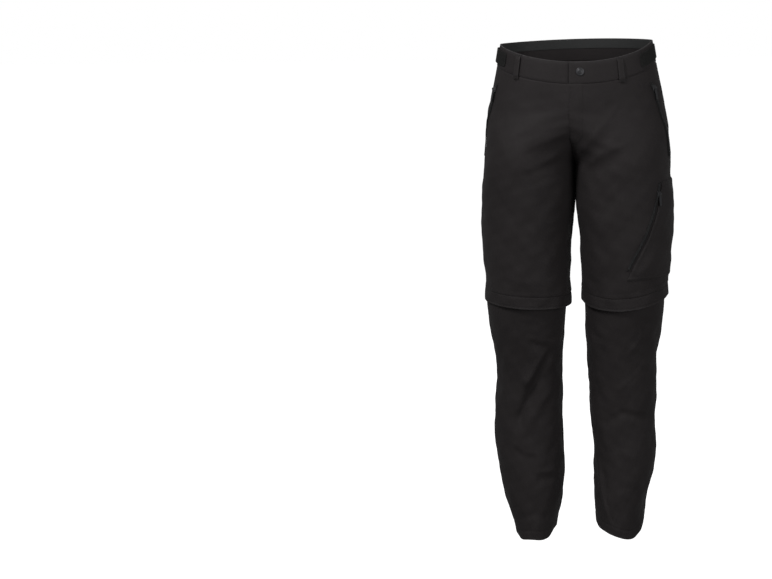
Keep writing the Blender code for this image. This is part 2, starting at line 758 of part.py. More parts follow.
def add_slider_and_pull(prefix, tube, angle, z, metal):
    """A zip slider with two lugs and a pin across, and the pull tab that turns on the pin.
    In the slider's frame X is down the zip, Y is out of the cloth and Z is across."""
    place = frame_at(tube, angle, z, 2 * REST_GAP + ZIP_CLOTH)
    pin_height = SLIDER_HEIGHT + RUN_GAP + PULL_KNUCKLE
    slider = add_cube(
        f"{prefix}_slider",
        (SLIDER_LENGTH, SLIDER_HEIGHT, SLIDER_WIDTH),
        (0, SLIDER_HEIGHT / 2, 0),
        metal,
        PARTS,
    )
    slider.matrix_world = place
    lug_place = PULL_WIDTH / 2 + RUN_GAP + LUG_WIDTH / 2
    helpers = []
    for number, across in enumerate((-lug_place, lug_place)):
        lug_top = pin_height + PIN_RADIUS + LUG_OVER_PIN
        lug = add_cube(
            f"{prefix}_lug_{number}",
            (LUG_LENGTH, lug_top - LUG_SINK, LUG_WIDTH),
            (0, (lug_top + LUG_SINK) / 2, across),
            metal,
            CUTTERS,
        )
        helpers.append(lug)
    bpy.ops.mesh.primitive_cylinder_add(vertices=PIN_STEPS, radius=PIN_RADIUS * MM, depth=2 * lug_place * MM)
    pin = bpy.context.active_object
    pin.name = f"{prefix}_pin"
    for owner in list(pin.users_collection):
        owner.objects.unlink(pin)
    CUTTERS.objects.link(pin)
    pin.data.transform(Matrix.Translation((0, pin_height * MM, 0)))
    helpers.append(pin)
    for helper in helpers:
        hide_helper(helper, place)
        union = slider.modifiers.new(helper.name, "BOOLEAN")
        union.operation = "UNION"
        union.object = helper

    curve = bpy.data.curves.new(f"{prefix}_pull", "CURVE")
    curve.dimensions = "2D"
    curve.fill_mode = "BOTH"
    curve.extrude = PULL_WIDTH / 2 * MM
    half = PULL_THICK / 2
    start = math.asin(half / PULL_KNUCKLE)
    round_end = np.linspace(start, 2 * math.pi - start, KNUCKLE_STEPS + 1)
    outline = [(PULL_KNUCKLE * math.cos(a), PULL_KNUCKLE * math.sin(a)) for a in round_end]
    flat = PULL_LENGTH - PULL_TIP
    outline += [(flat, -half), (PULL_LENGTH, 0), (flat, half)]
    turns = np.linspace(0, -2 * math.pi, HOLE_STEPS, endpoint=False)
    hole = [(PULL_HOLE * math.cos(a), PULL_HOLE * math.sin(a)) for a in turns]
    for line in (outline, hole):
        spline = curve.splines.new("POLY")
        spline.points.add(len(line) - 1)
        for point, (x, y) in zip(spline.points, line):
            point.co = (x * MM, y * MM, 0, 1)
        spline.use_cyclic_u = True
    pull = add_object(f"{prefix}_pull", curve, metal)
    pull.matrix_world = place @ Matrix.Translation((0, pin_height * MM, 0))


def build():
    shell = new_material("black_shell_cloth", (0.018, 0.017, 0.017), 0.78)
    tape = new_material("black_zip_tape", (0.012, 0.012, 0.012), 0.6)
    hook = new_material("black_hook_tape", (0.008, 0.008, 0.008), 0.9)
    snap = new_material("dark_snap", (0.03, 0.03, 0.03), 0.42)
    metal = new_material("dark_zip_metal", (0.05, 0.05, 0.052), 0.4, 0.9)

    for side in (LEFT, RIGHT):
        name = SIDE_NAME[side]
        for face in ("front", "back"):
            add_panel(f"{face}_{name}", side, face, shell)
            add_lower_panel(f"lower_{face}_{name}", side, face, shell)
        add_knee(side, shell, tape)
        add_waist_tab(side, hook)
        tube = THIGH_TUBE[side]
        levels = spaced(HAND_ZIP.level_top, HAND_ZIP.level_bottom, PATCH_CELL)
        add_strip(f"hand_zip_{name}", tube, hand_zip_angle, levels, HAND_ZIP_WIDTH, tape)
        z = HAND_SLIDER_LEVEL
        add_slider_and_pull(f"hand_{name}", tube, float(hand_zip_angle(z)), z, metal)

    add_waistband(shell)
    add_fly_shield(shell)
    add_snap(snap)
    for loop in LOOPS:
        tube = THIGH_TUBE[loop.side]
        add_belt_loop(loop.name, tube, tube.angle_at(loop.x, LOOP_LEVEL, loop.face), shell)
    add_centre_loop(shell)

    add_cargo_pocket(shell)
    levels = spaced(CARGO_ZIP_TOP, CARGO_ZIP_BOTTOM, PATCH_CELL)
    add_strip("cargo_zip", THIGH_TUBE[LEFT], cargo_zip_middle, levels, CARGO_ZIP_WIDTH, tape)
    z = CARGO_SLIDER_LEVEL
    add_slider_and_pull("cargo", THIGH_TUBE[LEFT], float(cargo_zip_middle(np.array(z))), z, metal)


clear_scene()
PARTS = new_collection(PRODUCT)
CUTTERS = new_collection("helpers")
build()
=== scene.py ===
# Convertible zip-off trousers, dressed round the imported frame.
# Leg sections, folds and sizes are in millimetres, as a pattern maker notes them,
# and a mesh's points are turned into metres once. +X is the wearer's left, -Y the front.

import json
import math

import bmesh
import bpy
import numpy as np
from mathutils import Matrix, Vector

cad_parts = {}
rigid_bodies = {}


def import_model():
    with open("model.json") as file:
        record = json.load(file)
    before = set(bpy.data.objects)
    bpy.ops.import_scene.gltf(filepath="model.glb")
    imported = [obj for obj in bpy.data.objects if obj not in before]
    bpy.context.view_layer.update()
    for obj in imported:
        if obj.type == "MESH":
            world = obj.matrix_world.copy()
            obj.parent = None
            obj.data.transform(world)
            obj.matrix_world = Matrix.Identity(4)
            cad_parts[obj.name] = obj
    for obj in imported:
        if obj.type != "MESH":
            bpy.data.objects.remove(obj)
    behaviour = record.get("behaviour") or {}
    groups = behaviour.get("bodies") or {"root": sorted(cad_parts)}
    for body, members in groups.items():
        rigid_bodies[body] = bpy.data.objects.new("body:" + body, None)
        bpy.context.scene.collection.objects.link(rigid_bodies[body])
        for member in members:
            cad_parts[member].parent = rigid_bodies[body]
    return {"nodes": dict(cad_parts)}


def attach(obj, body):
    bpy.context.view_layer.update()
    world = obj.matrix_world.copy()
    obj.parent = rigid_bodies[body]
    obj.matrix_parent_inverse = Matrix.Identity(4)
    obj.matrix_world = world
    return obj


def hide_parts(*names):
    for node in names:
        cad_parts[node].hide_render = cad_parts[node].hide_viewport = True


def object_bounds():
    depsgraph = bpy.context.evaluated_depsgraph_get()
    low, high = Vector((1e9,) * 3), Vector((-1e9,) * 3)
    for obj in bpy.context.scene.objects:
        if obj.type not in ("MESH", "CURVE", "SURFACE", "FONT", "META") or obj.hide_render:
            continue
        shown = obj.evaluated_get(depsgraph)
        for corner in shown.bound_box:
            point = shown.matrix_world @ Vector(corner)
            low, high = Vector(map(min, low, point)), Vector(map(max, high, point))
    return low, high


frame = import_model()
cadBox = [list(corner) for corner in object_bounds()]
bpy.ops.object.select_all(action="DESELECT")
for item in list(bpy.data.objects):
    if item.name in ("Cube", "Light", "Camera"):
        bpy.data.objects.remove(item)
print("frame loaded")

mm = 0.001
quarter = math.pi / 2
left, right = 1, -1
sideName = {left: "Left", right: "Right"}
turns = {"Front": 1, "Back": -1}  # which way the angle runs, from a leg's outer side


# Materials: nodes whose inputs are values or other nodes' outputs


def setInputs(tree, node, values):
    for name, value in values.items():
        if isinstance(value, bpy.types.NodeSocket):
            tree.links.new(value, node.inputs[name])
        else:
            node.inputs[name].default_value = value


def makeNode(tree, kind, output, values=(), **settings):
    node = tree.nodes.new("ShaderNode" + kind)
    for name, value in settings.items():
        setattr(node, name, value)
    setInputs(tree, node, dict(values))
    return node.outputs[output]


def newFinish(name):
    finish = bpy.data.materials.new(name)
    finish.use_nodes = True
    return finish, finish.node_tree, finish.node_tree.nodes["Principled BSDF"]


# Camera, floor and soft studio light

sensorWidth = 36
focalPixels, pictureWidth, pixelsAside = 1659, 772, 190  # the camera, in the picture's pixels

studio = {
    "aim": (0, 0, -0.512),
    "distance": 3.6,
    "azimuth": math.radians(7),
    "elevation": math.radians(10),
    "turnedAside": math.atan(pixelsAside / focalPixels),  # the trousers stand right of the middle
    "lens": sensorWidth * focalPixels / pictureWidth,
    "farthest": 100,
    "floorSize": 60,
    "floorBelowHem": 0.09,
    "floorColour": (0.2, 0.2, 0.2),
    "floorGlow": 0.985,  # the floor is lit from below, and shines only toward the camera
    "backdrop": 1.0,
    "fill": 0.24,
    # place, aim, size, power, and whether it shows in the cloth's gloss
    "lights": {
        "key": ((-1.3, -1.7, 1.7), (0.0, 0.0, -0.35), 0.8, 66, True),
        "fill": ((1.7, -2.2, 0.4), (0.0, 0.0, -0.3), 1.2, 36, True),
        "back": ((0.0, 2.3, 1.4), (0.0, 0.0, -0.4), 1.0, 85, False),
    },
}


def aimedAt(place, target):
    toward = Vector(target) - Vector(place)
    return Matrix.Translation(place) @ toward.to_track_quat("-Z", "Y").to_matrix().to_4x4()


def addSoftLight(name, place, aim, size, power, inGloss):
    bpy.ops.object.light_add(type="AREA")
    light = bpy.context.object
    light.name = name
    light.data.shape = "SQUARE"
    light.data.size = size
    light.data.energy = power
    light.visible_glossy = inGloss
    light.matrix_world = aimedAt(place, aim)


def addStudio():
    azimuth, elevation = studio["azimuth"], studio["elevation"]
    back = Vector((math.sin(azimuth), -math.cos(azimuth), math.tan(elevation))) * math.cos(elevation)
    place = Vector(studio["aim"]) + back * studio["distance"]
    bpy.ops.object.camera_add()
    camera = bpy.context.object
    camera.data.lens = studio["lens"]
    camera.data.sensor_width = sensorWidth
    camera.data.clip_end = studio["farthest"]
    camera.matrix_world = aimedAt(place, studio["aim"]) @ Matrix.Rotation(studio["turnedAside"], 4, "Y")
    bpy.context.scene.camera = camera

    floorLevel = cadBox[0][2] - studio["floorBelowHem"]
    bpy.ops.mesh.primitive_plane_add(size=studio["floorSize"], location=(0, 0, floorLevel))
    floor = bpy.context.object
    floor.name = "floor"
    paint, tree, shader = newFinish("paleFloor")
    setInputs(tree, shader, {
        "Base Color": (*studio["floorColour"], 1),
        "Roughness": 0.9,
        "Specular IOR Level": 0.0,
        "Emission Color": (1, 1, 1, 1),
        "Emission Strength": studio["floorGlow"],
    })
    floor.data.materials.append(paint)
    floor.visible_diffuse = False
    floor.visible_glossy = False

    world = bpy.data.worlds.new("studio")
    world.use_nodes = True
    tree = world.node_tree
    seen = makeNode(tree, "LightPath", "Is Camera Ray")
    levels = {"Value": seen, "To Min": studio["fill"], "To Max": studio["backdrop"]}
    strength = makeNode(tree, "MapRange", "Result", levels)
    setInputs(tree, tree.nodes["Background"], {"Color": (1, 1, 1, 1), "Strength": strength})
    bpy.context.scene.world = world
    bpy.context.scene.view_settings.view_transform = "Standard"
    for name, light in studio["lights"].items():
        addSoftLight(name, *light)


addStudio()
print("studio ready")


# Shape of the legs, as in the CAD frame. A row of a section table is its level, the outer
# and inner distances from x = 0, the front and back depths, and how far back the middle is.

thighRows = {
    left: [
        (24, 157.5, 0, 108, 112, 0),
        (-30, 167, 0, 112, 118, 0),
        (-80, 177.5, 0, 116, 127, 0),
        (-130, 187.5, 0, 119, 135, 0),
        (-190, 196, 0, 120, 138, 0),
        (-235, 197.5, 0, 117, 134, 0),
        (-290, 200, 0, 113, 125, 0),
        (-330, 202, 1, 110, 118, 0),
        (-380, 201.5, 8, 106, 111, 0),
        (-430, 198, 10.5, 102, 105, 0),
        (-480, 196, 12.5, 97, 98, 0),
        (-520, 196, 13, 93, 93, 0),
        (-560, 195, 14, 91, 90, 0),
    ],
    right: [
        (24, 158, 0, 108, 112, 0),
        (-30, 167, 0, 112, 118, 0),
        (-80, 177, 0, 116, 127, 0),
        (-130, 187.5, 0, 119, 135, 0),
        (-185, 191.5, 0, 120, 138, 0),
        (-212, 192, 0, 119, 137, 0),
        (-240, 196, 0, 117, 133, 0),
        (-290, 201, 0, 113, 125, 0),
        (-330, 202.5, 3, 110, 118, 0),
        (-380, 203.5, 8.5, 106, 111, 0),
        (-430, 201.5, 11.5, 102, 105, 0),
        (-480, 195.5, 13.5, 97, 98, 0),
        (-520, 197, 10.5, 93, 93, 0),
        (-560, 196.5, 11.5, 91, 90, 0),
    ],
}
lowerRows = {
    left: [
        (-510, 188.5, 18, 87, 85, 0),
        (-553, 186.5, 20, 84, 84, 2),
        (-600, 181, 20, 80, 84, 5),
        (-645, 173, 23, 76, 86, 9),
        (-690, 171.5, 25, 73, 88, 12),
        (-735, 172, 28, 71, 88, 14),
        (-780, 169.5, 29.5, 70, 86, 14),
        (-825, 170.5, 35, 70, 84, 13),
        (-860, 172, 38, 71, 82, 12),
        (-900, 169, 38.5, 72, 80, 11),
        (-940, 159.5, 39, 74, 78, 10),
        (-984, 150, 41, 75, 76, 8),
        (-1020, 148, 44, 75, 75, 6),
        (-1060, 146, 46, 75, 75, 5),
    ],
    right: [
        (-510, 195, 20, 87, 85, 0),
        (-553, 193, 23, 84, 84, 2),
        (-600, 187.5, 27, 80, 84, 5),
        (-645, 180.5, 29.5, 76, 86, 9),
        (-690, 175, 33, 73, 88, 12),
        (-735, 177.5, 31, 71, 88, 14),
        (-780, 180.5, 32.5, 70, 86, 14),
        (-825, 181.5, 31, 70, 84, 13),
        (-850, 180.5, 30.5, 71, 83, 12),
        (-885, 175.5, 27, 72, 81, 11),
        (-920, 169.5, 27.5, 73, 79, 10),
        (-961, 162, 30.5, 75, 77, 9),
        (-1000, 149, 35.5, 75, 76, 7),
        (-1030, 138, 42, 75, 75, 5),
        (-1060, 131.5, 45, 75, 75, 4),
    ],
}

waist = {
    "sideTop": 16.5,
    "sideTilt": 1.8,
    "frontDip": 36.5,
    "frontSlant": 0.05,
    "backRise": 3.5,
    "bandHeight": 45,
    "halfWidth": 158,
}
crotch = {
    "level": -235,
    "joinHeight": 115,
    "joinPower": 1.5,
    "legApart": -0.08,  # the halves overlap by a hair, so that no light comes through
    "touchLow": -345,  # the thighs touch down to here
    "seamHold": 14,
    "besideSeam": 0.985,
}

# An edge round a leg: a level halfway, how much higher the outer side, front and back are,
# how much lower all the corners are, and the outer front corner against the inner one
flapEdge = {left: (-523, 5, -18, 1, 0, 0), right: (-538, 5, -3, 1, 0, 0)}
hemEdge = {left: (-1024, 0, -16, -2, 4.5, 8.5), right: (-1041, 0, -16, 0, 7.5, 0)}
knee = {"flapHeight": 26, "zipStart": 1, "zipDrop": 13, "zipInLower": 0.2}

# Folds: the face, the line that the fold runs along as x and z, its width and its height.
# A minus height is a trough.
thighFolds = {
    left: [
        ("front", [(20, -232), (92, -158)], 13, -2.6),
        ("front", [(34, -252), (112, -206)], 14, -2.2),
        ("front", [(100, -262), (52, -340)], 22, -3.0),
        ("back", [(30, -262), (110, -232)], 18, -3.4),
        ("back", [(60, -430), (150, -470)], 20, -2.6),
        ("front", [(14, -212), (50, -176), (98, -112)], 7, 1.3),
        ("front", [(30, -240), (62, -212), (118, -186)], 7, 1.3),
        ("front", [(76, -106), (100, -126)], 8, -1.2),
        ("front", [(96, -276), (66, -312), (50, -352)], 9, 1.2),
        ("front", [(40, -410), (66, -440), (110, -452)], 12, 0.9),
        ("front", [(120, -458), (146, -478)], 7, -1.2),
        ("front", [(30, -478), (66, -484)], 8, -0.7),
        ("back", [(14, -150), (60, -196), (118, -216)], 12, -1.6),
        ("back", [(40, -300), (90, -280), (150, -290)], 12, 1.2),
        ("back", [(30, -480), (90, -462), (150, -480)], 9, 1.4),
    ],
    right: [
        ("front", [(-90, -212), (-6, -182)], 13, -2.4),
        ("front", [(-88, -260), (-40, -238)], 13, -2.2),
        ("front", [(-68, -385), (-24, -462)], 15, -2.4),
        ("back", [(-30, -262), (-105, -236)], 18, -3.2),
        ("back", [(-55, -440), (-140, -462)], 20, -2.6),
        ("front", [(-104, -206), (-52, -186), (-10, -166)], 7, 1.2),
        ("front", [(-96, -246), (-60, -230), (-26, -214)], 7, 1.2),
        ("front", [(-84, -276), (-52, -262), (-26, -262)], 8, -1.0),
        ("front", [(-84, -366), (-60, -402), (-44, -456)], 8, 1.3),
        ("front", [(-150, -470), (-90, -486), (-40, -482)], 8, 0.8),
        ("front", [(-66, -300), (-40, -350)], 10, -0.9),
        ("back", [(-14, -150), (-66, -190), (-120, -204)], 12, -1.6),
        ("back", [(-40, -306), (-96, -286), (-150, -300)], 12, 1.2),
        ("back", [(-30, -478), (-92, -466), (-150, -486)], 9, 1.4),
    ],
}
lowerFolds = {
    left: [
        ("front", [(134, -620), (160, -565)], 12, -3.0),
        ("front", [(112, -702), (146, -668)], 12, -2.4),
        ("front", [(68, -796), (104, -764)], 11, -2.8),
        ("front", [(104, -764), (166, -784)], 11, -2.8),
        ("back", [(50, -628), (160, -652)], 20, -4.2),
        ("back", [(60, -690), (150, -672)], 16, -3.0),
        ("back", [(60, -960), (130, -978)], 16, -2.8),
        ("front", [(120, -636), (142, -606), (152, -570)], 6, 1.6),
        ("front", [(100, -716), (126, -690), (152, -660)], 6, 1.4),
        ("front", [(60, -806), (84, -772), (108, -760), (164, -772)], 7, 1.2),
        ("front", [(53, -880), (62, -950), (82, -1010)], 4.5, 2.6),
        ("front", [(66, -904), (72, -962), (88, -1010)], 6, -1.6),
        ("front", [(70, -870), (110, -856), (150, -868)], 10, 1.0),
        ("front", [(90, -940), (120, -930), (146, -944)], 9, -1.1),
        ("front", [(36, -596), (70, -610)], 8, -1.1),
        ("back", [(46, -646), (100, -660), (160, -676)], 9, 2.2),
        ("back", [(60, -716), (110, -704), (160, -716)], 9, 1.6),
        ("back", [(56, -860), (100, -880), (150, -872)], 14, -1.6),
        ("back", [(60, -990), (100, -1000), (136, -992)], 9, 1.6),
    ],
    right: [
        ("front", [(-48, -658), (-100, -712)], 13, 4.4),
        ("front", [(-50, -646), (-126, -800)], 17, -4.6),
        ("front", [(-90, -616), (-42, -640)], 12, -2.8),
        ("front", [(-126, -856), (-86, -876)], 12, -2.4),
        ("front", [(-76, -924), (-34, -922)], 11, -2.2),
        ("back", [(-50, -640), (-160, -622)], 20, -4.2),
        ("back", [(-60, -700), (-150, -684)], 16, -3.0),
        ("back", [(-60, -966), (-125, -950)], 16, -2.8),
        ("front", [(-40, -622), (-64, -650), (-96, -704), (-122, -770)], 8, 3.2),
        ("front", [(-92, -606), (-70, -616), (-44, -620)], 6, 1.3),
        ("front", [(-52, -650), (-80, -704), (-120, -800)], 8.5, -4.2),
        ("front", [(-142, -640), (-150, -690), (-146, -760)], 9, 1.5),
        ("front", [(-40, -716), (-76, -764), (-112, -826)], 9, 1.4),
        ("front", [(-134, -842), (-104, -864), (-80, -866)], 6, 1.3),
        ("front", [(-80, -908), (-56, -906), (-34, -912)], 6, 1.3),
        ("front", [(-120, -1012), (-84, -1000), (-52, -1010)], 8, -1.4),
        ("front", [(-108, -572), (-70, -582)], 8, -0.9),
        ("back", [(-46, -658), (-100, -648), (-160, -640)], 9, 2.2),
        ("back", [(-60, -724), (-110, -708), (-160, -712)], 9, 1.6),
        ("back", [(-52, -856), (-100, -872), (-150, -866)], 14, -1.6),
        ("back", [(-56, -992), (-96, -984), (-130, -978)], 9, 1.6),
    ],
}

foldFade = {"ends": 0.3, "aside": 0.1, "asideRun": 0.4}
waveFade = {"top": 45, "bottom": 25}
quietLevels = {"thigh": (-62, -560), "lower": (-545, -1100)}  # beyond these the cloth lies still

# Soft unevenness of worn cloth: how many waves there are over a metre each way, the turn
# that starts each, and their height in millimetres
softWaves = [
    (9.0, 13.0, 0.4, 0.55),
    (15.0, -8.0, 2.1, 0.40),
    (-21.0, 17.0, 4.0, 0.26),
    (31.0, 25.0, 1.3, 0.14),
    (-12.0, 36.0, 5.2, 0.16),
]


def smoothStep(t):
    t = np.clip(t, 0.0, 1.0)
    return t * t * (3 - 2 * t)


def hump(distance, width):
    return np.exp(-((distance / width) ** 2))


def gather(run, away, look):
    # Cloth gathered along a seam: how high, how far from it and how wide, and the ripple's
    # pitch, how far it drifts and over what length
    height, place, width, pitch, drift, driftPitch = look
    return height * hump(away - place, width) * np.sin(run / pitch + drift * np.sin(run / driftPitch))


def makeTube(side, rows, folds, quiet):
    table = np.array(sorted(rows), float)
    levels, values = table[:, 0], table[:, 1:]
    tube = {"side": side, "levels": levels, "values": values, "folds": folds, "quiet": quiet}
    tube["slopes"] = np.gradient(values, levels, axis=0)
    return tube


def joined(z):
    rise = np.clip((z - crotch["level"]) / crotch["joinHeight"], 0, 1)
    return (1 - rise ** crotch["joinPower"]) ** crotch["joinPower"]


def sectionAt(tube, z):
    levels, values = tube["levels"], tube["values"]
    z = np.clip(z, levels[0], levels[-1])
    row = np.clip(np.searchsorted(levels, z) - 1, 0, len(levels) - 2)
    height = (levels[row + 1] - levels[row])[..., None]
    t = (z - levels[row])[..., None] / height
    low, high = values[row], values[row + 1]
    slopeLow, slopeHigh = tube["slopes"][row] * height, tube["slopes"][row + 1] * height
    mixed = (
        low * (1 + 2 * t) * (1 - t) ** 2
        + slopeLow * t * (1 - t) ** 2
        + high * t * t * (3 - 2 * t)
        + slopeHigh * t * t * (t - 1)
    )
    outer, inner, front, back, middle = np.moveaxis(mixed, -1, 0)
    join = joined(z)
    inner = np.where(z > crotch["level"], outer * (join - 1) / (join + 1), np.maximum(inner, 0))
    return outer, inner, front, back, middle


def barePoint(tube, angle, z):
    outer, inner, front, back, middle = sectionAt(tube, z)
    depth = np.where(np.sin(angle) > 0, front, back)
    x = (outer + inner) / 2 + (outer - inner) / 2 * np.cos(angle) + crotch["legApart"]
    return np.stack([tube["side"] * x, middle - depth * np.sin(angle), z + 0 * x], -1)


def normalAt(tube, angle, z):
    turn, drop = 0.01, 1.0
    across = barePoint(tube, angle + turn, z) - barePoint(tube, angle - turn, z)
    down = barePoint(tube, angle, z - drop) - barePoint(tube, angle, z + drop)
    normal = tube["side"] * np.cross(across, down)
    return normal / np.linalg.norm(normal, axis=-1, keepdims=True)


def arcAt(tube, angle, z):
    # Millimetres along the cloth for each radian
    turn = 0.01
    step = barePoint(tube, angle + turn, z) - barePoint(tube, angle - turn, z)
    return np.linalg.norm(step, axis=-1) / (2 * turn)


def cutAngle(z):
    return np.where(z > crotch["level"], np.arccos(-joined(z)), math.pi)


def innerSeam(tube, z):
    # The inner seam's angle, and the arc just beside it
    cut = cutAngle(z) if tube["levels"][-1] > crotch["level"] else math.pi + 0 * z
    return cut, arcAt(tube, cut * crotch["besideSeam"], z)


def angleAt(tube, x, z, face):
    outer, inner = sectionAt(tube, np.asarray(z, float))[:2]
    across = (x - crotch["legApart"] - (outer + inner) / 2) / ((outer - inner) / 2)
    angle = np.arccos(np.clip(across, -1, 1))
    return angle if face == "front" else -angle


def waistTop(side, angle):
    facing = np.sin(angle)
    front = np.maximum(facing, 0)
    towardLeft = side * np.cos(angle)
    dip = waist["frontDip"] * front**1.5 + waist["frontSlant"] * waist["halfWidth"] * towardLeft * front
    rise = waist["sideTilt"] * towardLeft + waist["backRise"] * np.minimum(facing, 0) ** 2
    return waist["sideTop"] + rise - dip


def edgeLevel(edge, angle):
    middle, outer, front, back, corner, twist = edge
    facing = np.sin(angle)
    tilt = (front - back) / 2 * facing + (front + back) / 2 * facing**2
    skew = np.sin(2 * angle)
    return middle + outer * np.cos(angle) + tilt - corner * skew**2 - twist * skew


def flapSeam(side, angle):
    return edgeLevel(flapEdge[side], angle) + knee["flapHeight"]


def foldLift(folds, place, angle):
    x, z = place[..., 0], place[..., 2]
    lift = np.zeros(x.shape)
    for face, line, width, height in folds:
        lengths = [math.dist(a, b) for a, b in zip(line, line[1:])]
        nearest = np.full(x.shape, 1e9)
        aside = np.full(x.shape, 1e9)
        run = np.zeros(x.shape)
        before = 0.0
        for a, b, length in zip(line, line[1:], lengths):
            dirX, dirZ = (b[0] - a[0]) / length, (b[1] - a[1]) / length
            ahead = (x - a[0]) * dirX + (z - a[1]) * dirZ
            off = np.abs((x - a[0]) * dirZ - (z - a[1]) * dirX)
            past = ahead - np.clip(ahead, 0, length)
            away = np.hypot(off, past)
            closer = away < nearest
            nearest = np.where(closer, away, nearest)
            firstOrLast = (ahead < 0) & (before == 0) | (ahead > length) & (b == line[-1])
            aside = np.where(closer, np.where(firstOrLast, off, away), aside)
            run = np.where(closer, (before + ahead) / sum(lengths), run)
            before += length
        taper = smoothStep(run / foldFade["ends"] + 0.5) * smoothStep((1 - run) / foldFade["ends"] + 0.5)
        facing = np.sin(angle) if face == "front" else -np.sin(angle)
        shown = smoothStep((facing - foldFade["aside"]) / foldFade["asideRun"])
        lift += height * hump(aside, width) * taper * shown
    return lift


def waveLift(tube, place, angle, z):
    run = angle * 0.1  # about a tenth of a metre for each radian
    high = place[..., 2] * mm
    lift = np.zeros(high.shape)
    for around, up, turn, height in softWaves:
        lift += height * np.sin(2 * math.pi * (around * run + up * high) + turn + tube["side"])
    top, bottom = tube["quiet"]
    return lift * smoothStep((top - z) / waveFade["top"]) * smoothStep((z - bottom) / waveFade["bottom"])


def onCloth(tube, angle, z, out=0.0, seams=None):
    angle, z, out = np.broadcast_arrays(np.asarray(angle, float), np.asarray(z, float), out)
    place = barePoint(tube, angle, z)
    lift = out + foldLift(tube["folds"], place, angle) + waveLift(tube, place, angle, z)
    if seams is not None:
        lift = lift + seams(tube, angle, z)
    shift = normalAt(tube, angle, z) * lift[..., None]
    # The seam that joins the two legs stays in the middle, and so do the thighs where they touch
    aside = smoothStep(np.abs(place[..., 0]) / crotch["seamHold"])
    above = smoothStep((z - crotch["touchLow"]) / crotch["seamHold"])
    shift[..., 0] *= 1 - above * (1 - aside)
    return place + shift


thighTube, lowerTube = {}, {}
for side in (left, right):
    thighTube[side] = makeTube(side, thighRows[side], thighFolds[side], quietLevels["thigh"])
    lowerTube[side] = makeTube(side, lowerRows[side], lowerFolds[side], quietLevels["lower"])


# Finishes

patchNoise, fleckNoise = (7.0, 5.0), (240.0, 2.0)  # their scale and detail
# Each cloth lightens toward its marked edges with its worn colour: rubbed wear, and along the waistband's
# top edge a painted highlight
clothLooks = {
    "shellCloth": {
        "dark": (0.0140, 0.0120, 0.0123), "light": (0.0171, 0.0148, 0.0151), "worn": (0.060, 0.057, 0.058),
        "rough": (0.55, 0.72), "specular": 0.12, "sheen": 0.012, "rib": 0.0011, "yarn": 0.0006,
        "weaveDepth": 0.00010, "crumpleSize": 55, "crumpleDepth": 0.0007,
    },
    "facingCloth": {
        "dark": (0.024, 0.0247, 0.0247), "light": (0.031, 0.0317, 0.0317), "worn": (0.040, 0.040, 0.040),
        "rough": (0.8, 0.92), "specular": 0.1, "sheen": 0.02, "rib": 0.0016, "yarn": 0.0009,
        "weaveDepth": 0.00016, "crumpleSize": 40, "crumpleDepth": 0.0005,
    },
    "hookTape": {
        "dark": (0.0060, 0.0060, 0.0058), "light": (0.0130, 0.0130, 0.0125), "worn": (0.024, 0.024, 0.023),
        "rough": (0.84, 0.95), "specular": 0.1, "sheen": 0.01, "rib": 0.0022, "yarn": 0.0013,
        "weaveDepth": 0.0004, "crumpleSize": 700, "crumpleDepth": 0.0006,
    },
    "zipTape": {
        "dark": (0.0080, 0.0080, 0.0082), "light": (0.0120, 0.0120, 0.0124), "worn": (0.020, 0.020, 0.020),
        "rough": (0.55, 0.7), "specular": 0.15, "sheen": 0.005, "rib": 0.0014, "yarn": 0.0007,
        "weaveDepth": 0.00014, "crumpleSize": 90, "crumpleDepth": 0.0002,
    },
}
plainLooks = {
    "thread": {
        "colour": (0.0135, 0.013, 0.013), "rough": 0.55, "metal": 0.0, "specular": 0.12,
        "grain": 900, "depth": 0.0001,
    },
    "zipTeeth": {
        "colour": (0.009, 0.009, 0.0095), "rough": 0.4, "metal": 0.0, "specular": 0.25,
        "grain": 400, "depth": 0.00005,
    },
    "snapLacquer": {
        "colour": (0.026, 0.026, 0.028), "rough": 0.4, "metal": 0.5, "specular": 0.3,
        "grain": 260, "depth": 0.00006,
    },
    "gunmetal": {
        "colour": (0.036, 0.036, 0.038), "rough": 0.42, "metal": 0.6, "specular": 0.3,
        "grain": 300, "depth": 0.00006,
    },
}


def weaveLines(tree, direction, scale, distortion):
    place = makeNode(tree, "TexCoord", "UV")
    values = {"Vector": place, "Scale": scale, "Distortion": distortion, "Detail": 1.0}
    return makeNode(tree, "TexWave", "Fac", values, bands_direction=direction)


def noise(tree, scale, detail, spread=0.5):
    place = makeNode(tree, "TexCoord", "Object")
    values = {"Vector": place, "Scale": scale, "Detail": detail, "Roughness": spread}
    return makeNode(tree, "TexNoise", "Fac", values)


def bump(tree, height, depth, strength, **more):
    values = {"Height": height, "Distance": depth, "Strength": strength, **more}
    return makeNode(tree, "Bump", "Normal", values)


def between(tree, value, low, high):
    return makeNode(tree, "MapRange", "Result", {"Value": value, "To Min": low, "To Max": high})


def mixColours(tree, share, *colours):
    first, second = (c if isinstance(c, bpy.types.NodeSocket) else (*c, 1) for c in colours)
    return makeNode(tree, "Mix", 2, {0: share, 6: first, 7: second}, data_type="RGBA")


